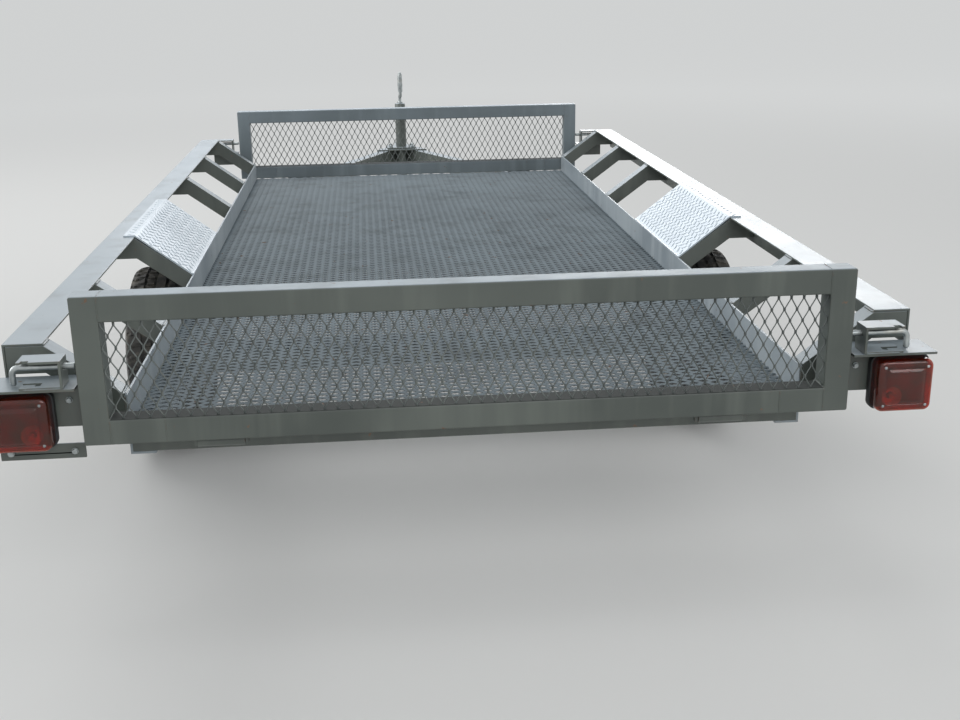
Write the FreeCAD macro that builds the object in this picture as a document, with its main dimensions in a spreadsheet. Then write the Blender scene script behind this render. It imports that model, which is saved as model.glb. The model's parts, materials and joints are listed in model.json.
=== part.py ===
# Single-axle open utility trailer with flared side frames and low mesh gates.
# Millimetres. +Y points towards the tongue, +X to the right, +Z up, ground at 0.
# The origin is on the ground, under the middle of the trailer's length.
import FreeCAD, Part
import math
import os
import re
import Sketcher
from FreeCAD import Placement, Rotation, Vector

doc = FreeCAD.newDocument("utility_trailer")

# Driving sizes: name, millimetres, what it measures
sizes = (
    ("bed_length", 3048, "bed, outside of sill to outside of sill"),
    ("bed_width", 1354, "over the two side rails"),
    ("bay_count", 6, "bays between the rungs along one side"),
    ("rail_depth", 125, "side rail, height of its web"),
    ("rail_flange", 50, "side rail, width of its bottom flange"),
    ("steel", 5, "thickness of rails, sills and brackets"),
    ("sill_flange", 45, "sill, width of its top flange"),
    ("cross_tube", 50, "floor crossmember, square tube"),
    ("mesh_thick", 4, "expanded metal as it lies"),
    ("floor_columns", 6, "openings across the floor"),
    ("floor_rows", 2, "openings along one bay of the floor"),
    ("floor_strip", 40, "metal left between two openings of the floor"),
    ("flare_reach", 219, "side rail face to outer rail face"),
    ("flare_rise", 110, "outer rail top above the side rail top"),
    ("outer_leg", 76, "outer rail angle, width of each leg"),
    ("rung_width", 50, "side rung, along the trailer"),
    ("rung_depth", 55, "side rung, upright thickness"),
    ("plate_thick", 4, "punched plate over a wheel"),
    ("plate_lap", 30, "punched plate lying on the outer rail"),
    ("gate_width", 1482, "gate, over its posts"),
    ("gate_height", 290, "gate, bottom rail to top rail"),
    ("gate_tube", 50, "gate frame, square tube"),
    ("gate_gap", 39, "bed end to the near face of a gate"),
    ("gate_drop", 70, "gate bottom below the side rail top"),
    ("gate_mesh_inset", 6, "mesh behind the outer face of the gate frame"),
    ("barrel_radius", 10, "gate hinge barrel"),
    ("barrel_length", 90, "gate hinge barrel"),
    ("hinge_pin_radius", 6, "gate hinge pin"),
    ("hinge_play", 0.1, "radial play of a hinge pin in its barrel"),
    ("hinge_spread", 980, "between the middles of a gate's two hinges"),
    ("ear_thick", 6, "hinge ear"),
    ("ear_height", 13, "hinge ear"),
    ("ear_play", 0.5, "end play between a barrel and its ears"),
    ("latch_length", 80, "latch bracket, along its flanges"),
    ("latch_height", 55, "latch bracket, over its flanges"),
    ("latch_depth", 50, "latch bracket, along the trailer"),
    ("latch_level", 100, "latch bracket top above the side rail top"),
    ("latch_stand", 27, "gate side to latch bracket"),
    ("latch_rod_radius", 6, "latch rod"),
    ("latch_rod_play", 0.1, "radial play of the latch rod in its bracket"),
    ("latch_rod_drop", 17, "latch bracket top to the rod's middle"),
    ("latch_rod_gap", 5, "gate side to the end of the drawn rod"),
    ("latch_slot_width", 9, "width of the cuts in a latch bracket's flanges"),
    ("latch_notch", 58, "latch bracket's web to the notch in its upper flange"),
    ("latch_notch_length", 14, "that notch, across the trailer"),
    ("latch_hook", 44, "latch bracket's web to the slot in its lower flange"),
    ("latch_handle", 34, "bent-down end of the latch rod, below the rod's middle"),
    ("latch_bend", 15, "latch rod, radius of its bend"),
    ("latch_shelf_leg", 45, "angle under a front latch bracket, its upright leg"),
    ("lamp_width", 121, "tail lamp"),
    ("lamp_height", 114, "tail lamp"),
    ("lamp_depth", 52, "tail lamp, housing and lens"),
    ("lamp_base", 16, "tail lamp, depth of its housing"),
    ("lamp_rim", 3, "lamp housing standing out round the lens"),
    ("lamp_corner", 11, "lens, cut across its four corners"),
    ("lamp_edge", 5, "lens, bevel round its face"),
    ("lamp_inset", 56, "gate side to the tail lamp"),
    ("lamp_back", 95, "bed end to the lens face"),
    ("lamp_drop", 7, "lamp top below the lamp bracket's shelf"),
    ("shelf_level", 45, "lamp bracket shelf above the side rail top"),
    ("lamp_plate_height", 90, "lamp bracket, height of its upright plate with the shelf"),
    ("gate_side_gap", 7, "gate side to the lamp bracket"),
    ("licence_bar_height", 30, "number plate carrier"),
    ("licence_bar_length", 160, "number plate carrier"),
    ("licence_bar_inset", 12, "gate side to the number plate carrier"),
    ("licence_bar_drop", 127, "shelf to the top of the number plate carrier"),
    ("licence_tab", 40, "number plate carrier, width of the tab that holds it"),
    ("licence_lap", 20, "tab lapping the lamp bracket"),
    ("licence_hole_spread", 120, "between the number plate carrier's two holes"),
    ("licence_hole", 3.5, "radius of those holes"),
    ("tongue_width", 50, "tongue rail"),
    ("tongue_depth", 76, "tongue rail"),
    ("tongue_half_angle", 25, "degrees between a tongue rail and the middle line"),
    ("tongue_tuck", 84, "bed front to where the tongue rails' inner faces meet the side rails' outer faces"),
    ("tongue_tip_gap", 2, "between the tips of the two tongue rails"),
    ("ball_reach", 215, "jack middle to the middle of the ball socket"),
    ("ball_radius", 25.4, "ball of the towing vehicle"),
    ("ball_play", 0.4, "radial play of the ball in its socket"),
    ("coupler_wall", 6, "coupler pressing"),
    ("coupler_depth", 56, "coupler, height of its side walls"),
    ("coupler_back", 75, "jack middle to the coupler's rear edge"),
    ("lever_width", 24, "coupler lever"),
    ("lever_length", 95, "coupler lever, along the trailer"),
    ("lever_rise", 40, "coupler lever, height of its grip above the coupler"),
    ("lever_thick", 9, "coupler lever, at its grip"),
    ("jack_tube_radius", 28, "jack, outer tube"),
    ("jack_side_gap", 5, "jack tube to the tongue rails' inner faces"),
    ("jack_leg_radius", 22, "jack, inner leg"),
    ("jack_play", 0.1, "radial play of the leg in the tube"),
    ("jack_rise", 245, "tongue rails' top to the top of the jack's tube"),
    ("jack_tube_length", 400, "jack, outer tube"),
    ("jack_cap", 10, "jack, thickness of the tube's closed top"),
    ("jack_hold", 140, "length of leg inside the tube as parked"),
    ("jack_flange_length", 150, "jack flange, across the trailer"),
    ("jack_flange_width", 110, "jack flange, along the trailer"),
    ("jack_flange_thick", 8, "jack flange"),
    ("foot_width", 130, "jack foot, each way"),
    ("foot_thick", 6, "jack foot"),
    ("crank_radius", 8, "jack crank rod"),
    ("crank_throw", 120, "jack crank, shaft to grip"),
    ("crank_rise", 45, "jack crank, top of the tube to the arm"),
    ("crank_bend", 20, "jack crank, radius of its bends"),
    ("crank_grip", 125, "jack crank grip"),
    ("tyre_radius", 260, "road wheel"),
    ("tyre_width", 205, "road wheel"),
    ("tyre_gap", 13, "side rail face to the tyre's side"),
    ("bulge_height", 62, "rim seat to the widest part of the tyre's side"),
    ("tread_width", 160, "tyre's tread"),
    ("tyre_sections", 48, "flat sections round a tyre, one to each tread block"),
    ("rim_radius", 127, "wheel rim seat"),
    ("rim_width", 152, "wheel rim"),
    ("rim_steel", 4, "wheel rim and disc"),
    ("axle_bay_count", 2.5, "bays between the bed's rear end and the axle"),
    ("hub_bore_radius", 40, "hub pilot"),
    ("hub_flange_radius", 76, "hub flange, middle to its five corners"),
    ("hub_flange_thick", 12, "hub flange"),
    ("hub_barrel_radius", 32, "hub barrel and grease cap"),
    ("hub_inboard", 50, "tyre's middle plane to the hub's inner end"),
    ("hub_outboard", 60, "tyre's middle plane to the grease cap's end"),
    ("nut_circle", 114.3, "wheel nuts, diameter of their circle"),
    ("nut_count", 5, "wheel nuts on a hub"),
    ("nut_flats", 21, "wheel nut, across its flats"),
    ("nut_height", 20, "wheel nut"),
    ("disc_offset", 20, "tyre's middle plane to the disc's outer face"),
    ("hub_axle_gap", 12, "hub's inner end to the axle tube"),
    ("spindle_radius", 16, "axle spindle"),
    ("spindle_play", 0.05, "radial play of a hub on its spindle"),
    ("spindle_end_gap", 5, "spindle's end to the inside of the grease cap"),
    ("axle_radius", 25, "axle tube"),
    ("spring_inset", 32, "side rail face to the middle of a spring"),
    ("cut_over", 1, "how far a cutting shape stands past what it cuts"),
    ("spring_width", 45, "leaf spring"),
    ("leaf_thick", 7, "one spring leaf"),
    ("seat_thick", 6, "spring seat, between the axle's top and the spring"),
    ("seat_length", 70, "spring seat, along the trailer"),
    ("seat_lap", 20, "spring seat reaching down round the axle"),
    ("leaf_count", 4, "leaves in a spring"),
    ("leaf_step", 0.2, "share of its length that each leaf loses on the one above"),
    ("spring_length", 660, "between the spring's eyes"),
    ("spring_rise", 45, "height of a spring's eyes above its middle"),
    ("hanger_drop", 62, "side rail's bottom to the middle of a spring's eye"),
    ("eye_radius", 16, "spring eye"),
    ("hanger_width", 42, "spring hanger, along the trailer"),
    ("hanger_lap", 20, "hanger cheek below the middle of the spring's eye"),
    ("shackle_drop", 20, "side rail's bottom to the shackle's upper pin"),
    ("shackle_thick", 6, "shackle plate"),
    ("shackle_width", 32, "shackle plate"),
    ("eye_bolt", 19, "spring bolt, across the flats of its head"),
    ("eye_bolt_head", 9, "spring bolt, height of its head"),
)

# Worked-out places: name, formula of the sizes above
worked = (
    ("bay", "bed_length / bay_count"),
    ("spring_bottom", "tyre_radius + axle_radius + seat_thick"),
    ("eye_level", "spring_bottom + leaf_thick * (leaf_count - 1) + spring_rise + eye_radius"),
    ("frame_bottom", "eye_level + hanger_drop"),
    ("bed_height", "frame_bottom + rail_depth"),
    ("jack_reach", "bed_width / 2 / tan(tongue_half_angle) - tongue_tuck"
                   " - (jack_tube_radius + jack_side_gap) / sin(tongue_half_angle)"),
    ("nose_radius", "ball_radius + ball_play + coupler_wall"),
    ("bed_rear", "(lamp_back - bed_length - jack_reach - ball_reach - nose_radius) / 2"),
    ("bed_front", "bed_rear + bed_length"),
    ("bed_half", "bed_width / 2"),
    ("mesh_bottom", "frame_bottom + steel + cross_tube"),
    ("floor_pitch", "(bed_width - 2 * steel) / floor_columns"),
    ("floor_step", "bay / floor_rows"),
    ("outer_face", "bed_half + flare_reach"),
    ("outer_top", "bed_height + flare_rise"),
    ("outer_inner", "outer_face - outer_leg"),
    ("plate_mitre", "plate_thick * tan(atan(flare_rise / (flare_reach - outer_leg)) / 2)"),
    ("gate_bottom", "bed_height - gate_drop"),
    ("gate_half", "gate_width / 2"),
    ("gate_middle", "gate_gap + gate_tube / 2"),
    ("hinge_level", "gate_bottom - barrel_radius"),
    ("rear_hinge", "bed_rear - gate_middle"),
    ("front_hinge", "bed_front + gate_middle"),
    ("shelf_top", "bed_height + shelf_level"),
    ("shelf_end", "gate_middle + latch_depth / 2"),
    ("lamp_plate_back", "lamp_back - lamp_depth"),
    ("rod_level", "bed_height + latch_level - latch_rod_drop"),
    ("jack_middle", "bed_front + jack_reach"),
    ("ball_middle", "jack_middle + ball_reach"),
    ("axle_middle", "bed_rear + axle_bay_count * bay"),
    ("tyre_middle", "bed_half + tyre_gap + tyre_width / 2"),
    ("spring_middle", "bed_half - spring_inset"),
    ("jack_top", "frame_bottom + jack_rise"),
    ("lens_top", "shelf_top - steel - lamp_drop"),
)


def fill_sheet(name, rows):
    sheet = doc.addObject("Spreadsheet::Sheet", name)
    for row, (alias, content) in enumerate(rows, 1):
        sheet.set(f"A{row}", alias)
        sheet.set(f"B{row}", content)
        sheet.setAlias(f"B{row}", alias)
    doc.recompute()
    return sheet


dims_names = {alias for alias, _, _ in sizes}
place_names = {alias for alias, _ in worked}


def formula(text):
    """Point each name in a formula at the sheet that holds it."""
    def place(match):
        word = match.group(0)
        if word in dims_names:
            return "dims." + word
        if word in place_names:
            return "places." + word
        return word
    return re.sub(r"[A-Za-z_]\w*", place, text)


dims = fill_sheet("dims", [(alias, str(number)) for alias, number, _ in sizes])
places = fill_sheet("places", [(alias, "=" + formula(text).replace("places.", "")) for alias, text in worked])


def size(name):
    """The number that a sheet holds under this name."""
    return float(dims.get(name) if name in dims_names else places.get(name))


def bind(thing, **formulas):
    """Bind properties of an object to formulas; x, y and z set its place."""
    for key, text in formulas.items():
        target = ".Placement.Base." + key if key in ("x", "y", "z") else key
        thing.setExpression(target, formula(str(text)))
    return thing


parts = {}


def keep(name, thing):
    """Give a finished piece the name of its node."""
    thing.Label = name
    parts[name] = thing
    return thing


def new(kind, name):
    return doc.addObject(kind, name)


def box(name, length, width, height, x, y, z):
    """A box from its lowest corner."""
    return bind(new("Part::Box", name), Length=length, Width=width, Height=height, x=x, y=y, z=z)


def rod(name, radius, length, x, y, z, axis=Vector(0, 0, 1)):
    """A round bar from the middle of one end."""
    bar = new("Part::Cylinder", name)
    bar.Placement.Rotation = Rotation(Vector(0, 0, 1), axis)
    return bind(bar, Radius=radius, Height=length, x=x, y=y, z=z)


def cut(name, base, tool):
    piece = new("Part::Cut", name)
    piece.Base, piece.Tool = base, tool
    return piece


def fuse(name, *pieces):
    piece = new("Part::MultiFuse", name)
    piece.Shapes = list(pieces)
    return piece


def group(name, *pieces):
    """Pieces that don't touch, kept in one node."""
    piece = new("Part::Compound", name)
    piece.Links = list(pieces)
    return piece


def profile(body, role, corners):
    """A closed sketch on an origin plane; each corner is a pair of formulas."""
    sketch = body.newObject("Sketcher::SketchObject", body.Name + "_profile")
    plane = next(f for f in body.Origin.OriginFeatures if f.Role == role)
    sketch.AttachmentSupport = [(plane, "")]
    sketch.MapMode = "FlatFace"
    count = len(corners)
    turn = 2 * math.pi / count
    rough = [Vector(math.cos(turn * i), math.sin(turn * i), 0) for i in range(count)]
    for i in range(count):
        sketch.addGeometry(Part.LineSegment(rough[i], rough[(i + 1) % count]), False)
    for i in range(count):
        sketch.addConstraint(Sketcher.Constraint("Coincident", i, 2, (i + 1) % count, 1))
    for i, corner in enumerate(corners):
        for kind, text in zip(("DistanceX", "DistanceY"), corner):
            index = sketch.addConstraint(Sketcher.Constraint(kind, -1, 1, i, 1, 1.0))
            sketch.setExpression(f"Constraints[{index}]", formula(str(text)))
    return sketch


def extruded(name, role, corners, length, **place):
    """A body padded from a profile; on the XZ plane the pad runs towards -Y."""
    body = new("PartDesign::Body", name)
    sketch = profile(body, role, corners)
    pad = body.newObject("PartDesign::Pad", name + "_pad")
    pad.Profile = sketch
    bind(pad, Length=length)
    return bind(body, **place)


def chamfered(body, role, amount, wanted):
    """Chamfer the edges of a body's tip that a test of edge and whole box picks out."""
    doc.recompute()
    base = body.Tip
    whole = base.Shape.BoundBox
    names = [f"Edge{i}" for i, edge in enumerate(base.Shape.Edges, 1) if wanted(edge, whole)]
    bevel = body.newObject("PartDesign::Chamfer", f"{body.Name}_{role}")
    bevel.Base = (base, names)
    bind(bevel, Size=amount)
    doc.recompute()
    return body


def solid(name, shape):
    """A piece whose shape is worked out here from the sheets' sizes."""
    piece = new("Part::Feature", name)
    piece.Shape = shape
    return piece


def bent_rod(points, bend, radius):
    """A round bar along a bent line; each square bend is two mitres that follow its radius."""
    near = bend * (1 - math.tan(math.radians(22.5)))
    line = [points[0]]
    for before, corner, after in zip(points, points[1:], points[2:]):
        line += [corner + (before - corner).normalize() * near, corner + (after - corner).normalize() * near]
    line.append(points[-1])
    sweep = Part.BRepOffsetAPI.MakePipeShell(Part.makePolygon(line))
    sweep.add(Part.Wire(Part.makeCircle(radius, line[0], line[1] - line[0])))
    sweep.setTransitionMode(1)
    sweep.build()
    sweep.makeSolid()
    return sweep.shape()


def hexagon(flats, height):
    """A six-sided head or nut standing on the XY plane."""
    corners = [Vector(flats / math.sqrt(3), 0, 0)]
    corners = [Rotation(Vector(0, 0, 1), 60 * turn).multVec(corners[0]) for turn in range(7)]
    return Part.Face(Part.makePolygon(corners)).extrude(Vector(0, 0, height))


# Bed frame
for side, sign in (("left", -1), ("right", 1)):
    keep(f"side_rail_{side}", extruded(
        f"side_rail_{side}", "XZ_Plane",
        ((f"{sign} * bed_half", "frame_bottom"),
         (f"{sign} * bed_half", "bed_height"),
         (f"{sign} * (bed_half - steel)", "bed_height"),
         (f"{sign} * (bed_half - steel)", "frame_bottom + steel"),
         (f"{sign} * (bed_half - rail_flange)", "frame_bottom + steel"),
         (f"{sign} * (bed_half - rail_flange)", "frame_bottom")),
        "bed_length", y="bed_front"))

for end, start, inward in (("rear", "bed_rear", 1), ("front", "bed_front", -1)):
    keep(f"{end}_sill", extruded(
        f"{end}_sill", "YZ_Plane",
        ((start, "frame_bottom + steel"),
         (start, "mesh_bottom"),
         (f"{start} + {inward} * sill_flange", "mesh_bottom"),
         (f"{start} + {inward} * sill_flange", "mesh_bottom - steel"),
         (f"{start} + {inward} * steel", "mesh_bottom - steel"),
         (f"{start} + {inward} * steel", "frame_bottom + steel")),
        "bed_width - 2 * steel", x="steel - bed_half"))

bay_count = int(size("bay_count"))
keep("floor_crossmembers", group("floor_crossmembers", *[
    box(f"crossmember_{i}", "bed_width - 2 * steel", "cross_tube", "cross_tube",
        "steel - bed_half", f"bed_rear + {i} * bay - cross_tube / 2", "frame_bottom + steel")
    for i in range(1, bay_count)]))

# Floor sheet with a plain grid of openings; a strip lies on every sill and crossmember
floor_sheet = box("floor_sheet", "bed_width - 2 * steel", "bed_length", "mesh_thick",
                  "steel - bed_half", "bed_rear", "mesh_bottom")
floor_openings = [
    box(f"floor_opening_{column}_{row}", "floor_pitch - floor_strip", "floor_step - floor_strip",
        "3 * mesh_thick",
        f"steel - bed_half + {column} * floor_pitch + floor_strip / 2",
        f"bed_rear + {row} * floor_step + floor_strip / 2", "mesh_bottom - mesh_thick")
    for column in range(int(size("floor_columns"))) for row in range(bay_count * int(size("floor_rows")))]
keep("floor_mesh", cut("floor_mesh", floor_sheet, group("floor_openings", *floor_openings)))

# Flared side frames
for side, sign in (("left", -1), ("right", 1)):
    keep(f"outer_rail_{side}", extruded(
        f"outer_rail_{side}", "XZ_Plane",
        ((f"{sign} * outer_inner", "outer_top"),
         (f"{sign} * outer_face", "outer_top"),
         (f"{sign} * outer_face", "outer_top - outer_leg"),
         (f"{sign} * (outer_face - steel)", "outer_top - outer_leg"),
         (f"{sign} * (outer_face - steel)", "outer_top - steel"),
         (f"{sign} * outer_inner", "outer_top - steel")),
        "bed_length", y="bed_front"))
    rungs = []
    for i in range(bay_count + 1):
        inset = "0" if i == 0 else "rung_width" if i == bay_count else "rung_width / 2"
        rungs.append(extruded(
            f"rung_{side}_{i}", "XZ_Plane",
            ((f"{sign} * bed_half", "bed_height - rung_depth"),
             (f"{sign} * bed_half", "bed_height"),
             (f"{sign} * outer_inner", "outer_top - steel"),
             (f"{sign} * (outer_face - steel)", "outer_top - steel"),
             (f"{sign} * (outer_face - steel)", "outer_top - steel - rung_depth"),
             (f"{sign} * outer_inner", "outer_top - steel - rung_depth")),
            "rung_width", y=f"bed_rear + {i} * bay - {inset} + rung_width"))
    keep(f"rungs_{side}", group(f"rungs_{side}", *rungs))
    keep(f"wheel_plate_{side}", extruded(
        f"wheel_plate_{side}", "XZ_Plane",
        ((f"{sign} * (bed_half - steel)", "bed_height"),
         (f"{sign} * bed_half", "bed_height"),
         (f"{sign} * outer_inner", "outer_top"),
         (f"{sign} * (outer_inner + plate_lap)", "outer_top"),
         (f"{sign} * (outer_inner + plate_lap)", "outer_top + plate_thick"),
         (f"{sign} * (outer_inner - plate_mitre)", "outer_top + plate_thick"),
         (f"{sign} * (bed_half - plate_mitre)", "bed_height + plate_thick"),
         (f"{sign} * (bed_half - steel)", "bed_height + plate_thick")),
        "bay + rung_width", y="axle_middle + (bay + rung_width) / 2"))

# Gates with their hinges; outward is the way a gate falls open
for end, hinge, outward in (("rear", "rear_hinge", -1), ("front", "front_hinge", 1)):
    frame = box(f"{end}_gate_outline", "gate_width", "gate_tube", "gate_height",
                "-gate_half", f"{hinge} - gate_tube / 2", "gate_bottom")
    window = box(f"{end}_gate_window", "gate_width - 2 * gate_tube", "gate_tube + 2 * cut_over",
                 "gate_height - 2 * gate_tube", "gate_tube - gate_half",
                 f"{hinge} - gate_tube / 2 - cut_over", "gate_bottom + gate_tube")
    keep(f"{end}_gate_frame", cut(f"{end}_gate_frame", frame, window))
    mesh_side = (f"{hinge} + {outward} * (gate_tube / 2 - gate_mesh_inset)"
                 + (" - mesh_thick" if outward > 0 else ""))
    keep(f"{end}_gate_mesh", box(
        f"{end}_gate_mesh", "gate_width - 2 * gate_tube", "mesh_thick", "gate_height - 2 * gate_tube",
        "gate_tube - gate_half", mesh_side, "gate_bottom + gate_tube"))
    barrels, brackets = [], []
    for number, sign in ((1, -1), (2, 1)):
        start = f"{sign} * hinge_spread / 2 - barrel_length / 2"
        outside = rod(f"{end}_barrel_{number}", "barrel_radius", "barrel_length",
                      start, hinge, "hinge_level", Vector(1, 0, 0))
        bore = rod(f"{end}_barrel_bore_{number}", "hinge_pin_radius + hinge_play",
                   "barrel_length + 2 * cut_over", f"{start} - cut_over", hinge, "hinge_level",
                   Vector(1, 0, 0))
        barrels.append(cut(f"{end}_hinge_barrel_{number}", outside, bore))
        reach = "ear_play + ear_thick"
        pin = rod(f"{end}_hinge_pin_{number}", "hinge_pin_radius", f"barrel_length + 2 * ({reach})",
                  f"{start} - ({reach})", hinge, "hinge_level", Vector(1, 0, 0))
        ears = []
        for edge, ear_start in ((1, f"{start} - ({reach})"), (2, f"{start} + barrel_length + ear_play")):
            arm_start = f"{hinge} - ear_height / 2" if outward < 0 else "bed_front"
            ears.append(box(f"{end}_ear_{number}_{edge}", "ear_thick", "gate_middle + ear_height / 2",
                            "ear_height", ear_start, arm_start, "hinge_level - ear_height / 2"))
        brackets.append(fuse(f"{end}_hinge_bracket_{number}", pin, *ears))
    keep(f"{end}_gate_barrels", group(f"{end}_gate_barrels", *barrels))
    keep(f"{end}_hinge_brackets", group(f"{end}_hinge_brackets", *brackets))

    # Latch brackets and their drawn rods, outboard of both gate posts
    latches, rods = [], []
    for side, sign in (("left", -1), ("right", 1)):
        web = "gate_half + latch_stand"
        low = "bed_height + latch_level - latch_height"
        latch = extruded(
            f"{end}_latch_{side}", "XZ_Plane",
            ((f"{sign} * ({web})", low),
             (f"{sign} * ({web} + latch_length)", low),
             (f"{sign} * ({web} + latch_length)", f"{low} + steel"),
             (f"{sign} * ({web} + steel)", f"{low} + steel"),
             (f"{sign} * ({web} + steel)", "bed_height + latch_level - steel"),
             (f"{sign} * ({web} + latch_length)", "bed_height + latch_level - steel"),
             (f"{sign} * ({web} + latch_length)", "bed_height + latch_level"),
             (f"{sign} * ({web})", "bed_height + latch_level")),
            "latch_depth", y=f"{hinge} + latch_depth / 2")
        bore = rod(f"{end}_latch_bore_{side}", "latch_rod_radius + latch_rod_play", "3 * steel",
                   f"{sign} * ({web} + steel / 2) - 1.5 * steel", hinge, "rod_level", Vector(1, 0, 0))
        cuts = [bore]
        # along the flange, out from the web; across it, from the hinge's line outward; level; length; width
        for number, (along, across, level, length, width) in enumerate((
                ("latch_notch", "latch_depth / 2 - latch_slot_width", "bed_height + latch_level",
                 "latch_notch_length", "latch_slot_width"),
                ("latch_hook", "-latch_slot_width / 2", f"{low} + steel",
                 "latch_length - latch_hook", "latch_slot_width"),
                ("latch_hook", "-latch_slot_width / 2", f"{low} + steel",
                 "latch_slot_width", "2 * latch_slot_width"))):
            near = f"{web} + {along}"
            cuts.append(box(f"{end}_latch_cut_{side}_{number}", length, width, "3 * steel",
                            near if sign > 0 else f"-({near} + {length})",
                            f"{hinge} + {across}" if outward > 0 else f"{hinge} - ({across}) - {width}",
                            f"{level} - 2 * steel"))
        latches.append(cut(f"{end}_latch_bracket_{side}", latch, fuse(f"{end}_latch_cuts_{side}", *cuts)))
        bend = size("latch_bend")
        inner = size("gate_half") + size("latch_rod_gap")
        outer = size("gate_half") + size("latch_stand") + size("latch_length") + bend
        height, middle = size("rod_level"), size(hinge)
        rods.append(solid(f"{end}_latch_rod_{side}", bent_rod(
            [Vector(sign * inner, middle, height), Vector(sign * outer, middle, height),
             Vector(sign * outer, middle, height - size("latch_handle"))], bend, size("latch_rod_radius"))))
    keep(f"{end}_latch_brackets", group(f"{end}_latch_brackets", *latches))
    keep(f"{end}_latch_rods", group(f"{end}_latch_rods", *rods))

# Angles that carry the front latch brackets, on the foremost rungs
keep("front_latch_shelves", group("front_latch_shelves", *[
    extruded(f"front_latch_shelf_{side}", "YZ_Plane",
             (("bed_front", "shelf_top"),
              ("bed_front + shelf_end", "shelf_top"),
              ("bed_front + shelf_end", "shelf_top - steel"),
              ("bed_front + steel", "shelf_top - steel"),
              ("bed_front + steel", "shelf_top - latch_shelf_leg"),
              ("bed_front", "shelf_top - latch_shelf_leg")),
             "latch_stand + latch_length - gate_side_gap",
             x="gate_half + gate_side_gap" if side == "right"
             else "-(gate_half + latch_stand + latch_length)")
    for side in ("left", "right")]))

# Lamp brackets, tail lamps and the number plate carrier
housings = []
for side, sign in (("left", -1), ("right", 1)):
    low_edge = "gate_half + gate_side_gap"
    high_edge = "gate_half + lamp_inset + lamp_width"
    keep(f"lamp_bracket_{side}", extruded(
        f"lamp_bracket_{side}", "YZ_Plane",
        (("bed_rear - shelf_end", "shelf_top"),
         ("bed_rear", "shelf_top"),
         ("bed_rear", "shelf_top - steel"),
         ("bed_rear - lamp_plate_back + steel", "shelf_top - steel"),
         ("bed_rear - lamp_plate_back + steel", "shelf_top - lamp_plate_height"),
         ("bed_rear - lamp_plate_back", "shelf_top - lamp_plate_height"),
         ("bed_rear - lamp_plate_back", "shelf_top - steel"),
         ("bed_rear - shelf_end", "shelf_top - steel")),
        f"{high_edge} - ({low_edge})", x=low_edge if sign > 0 else f"-({high_edge})"))
    lamp_inner, lamp_outer = f"{sign} * (gate_half + lamp_inset)", f"{sign} * ({high_edge})"
    housings.append(extruded(
        f"lamp_housing_{side}", "XZ_Plane",
        ((lamp_inner, "lens_top"), (lamp_outer, "lens_top"),
         (lamp_outer, "lens_top - lamp_height"), (lamp_inner, "lens_top - lamp_height")),
        "lamp_base", y="bed_rear - lamp_plate_back"))
    lens = extruded(
        f"tail_lamp_{side}", "XZ_Plane",
        ((f"{lamp_inner} + {sign} * lamp_rim", "lens_top - lamp_rim"),
         (f"{lamp_outer} - {sign} * lamp_rim", "lens_top - lamp_rim"),
         (f"{lamp_outer} - {sign} * lamp_rim", "lens_top - lamp_height + lamp_rim"),
         (f"{lamp_inner} + {sign} * lamp_rim", "lens_top - lamp_height + lamp_rim")),
        "lamp_depth - lamp_base", y="bed_rear - lamp_plate_back - lamp_base")
    chamfered(lens, "corners", "lamp_corner", lambda edge, whole: edge.BoundBox.YLength > whole.YLength / 2)
    chamfered(lens, "face", "lamp_edge",
              lambda edge, whole: edge.BoundBox.YMax < whole.YMin + whole.YLength / 10)
    keep(f"tail_lamp_{side}", lens)

keep("lamp_housings", group("lamp_housings", *housings))

bar_inner = "gate_half + licence_bar_inset"
bar_middle = f"{bar_inner} + licence_bar_length / 2"
carrier = extruded(
    "licence_plate_carrier", "XZ_Plane",
    ((f"-({bar_inner} + licence_bar_length)", "shelf_top - licence_bar_drop - licence_bar_height"),
     (f"-({bar_inner})", "shelf_top - licence_bar_drop - licence_bar_height"),
     (f"-({bar_inner})", "shelf_top - licence_bar_drop"),
     (f"-({bar_middle} - licence_tab / 2)", "shelf_top - licence_bar_drop"),
     (f"-({bar_middle} - licence_tab / 2)", "shelf_top - lamp_plate_height + licence_lap"),
     (f"-({bar_middle} + licence_tab / 2)", "shelf_top - lamp_plate_height + licence_lap"),
     (f"-({bar_middle} + licence_tab / 2)", "shelf_top - licence_bar_drop"),
     (f"-({bar_inner} + licence_bar_length)", "shelf_top - licence_bar_drop")),
    "steel", y="bed_rear - lamp_plate_back + 2 * steel")
carrier_holes = [rod(f"licence_hole_{number}", "licence_hole", "3 * steel",
                     f"-({bar_middle}) + {sign} * licence_hole_spread / 2", "bed_rear - lamp_plate_back",
                     "shelf_top - licence_bar_drop - licence_bar_height / 2", Vector(0, 1, 0))
                 for number, sign in ((1, -1), (2, 1))]
keep("licence_bar", cut("licence_bar", carrier, fuse("licence_holes", *carrier_holes)))


def prism(corners, low, high):
    """An upright prism over a closed outline seen from above."""
    face = Part.Face(Part.makePolygon([Vector(x, y, low) for x, y in corners + corners[:1]]))
    return face.extrude(Vector(0, 0, high - low))


# Tongue rails; their inner faces would meet ahead of the jack at "apex"
angle = math.radians(size("tongue_half_angle"))
slope = math.tan(angle)
across = size("tongue_width") / math.cos(angle)
apex = size("jack_middle") + (size("jack_tube_radius") + size("jack_side_gap")) / math.sin(angle)
inner_tip, outer = size("tongue_tip_gap") / 2, size("bed_half")
tongue_top = size("frame_bottom")
for side, sign in (("left", -1), ("right", 1)):
    tip = apex - inner_tip / slope
    bar = prism([(sign * inner_tip, tip), (sign * (inner_tip + across), tip),
                 (sign * outer, apex - (outer - across) / slope), (sign * outer, apex - outer / slope)],
                tongue_top - size("tongue_depth"), tongue_top)
    keep(f"tongue_rail_{side}", solid(f"tongue_rail_{side}", bar))


def both_sides(half):
    """An outline in plan from its right half."""
    return half + [(-x, y) for x, y in reversed(half)]


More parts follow.
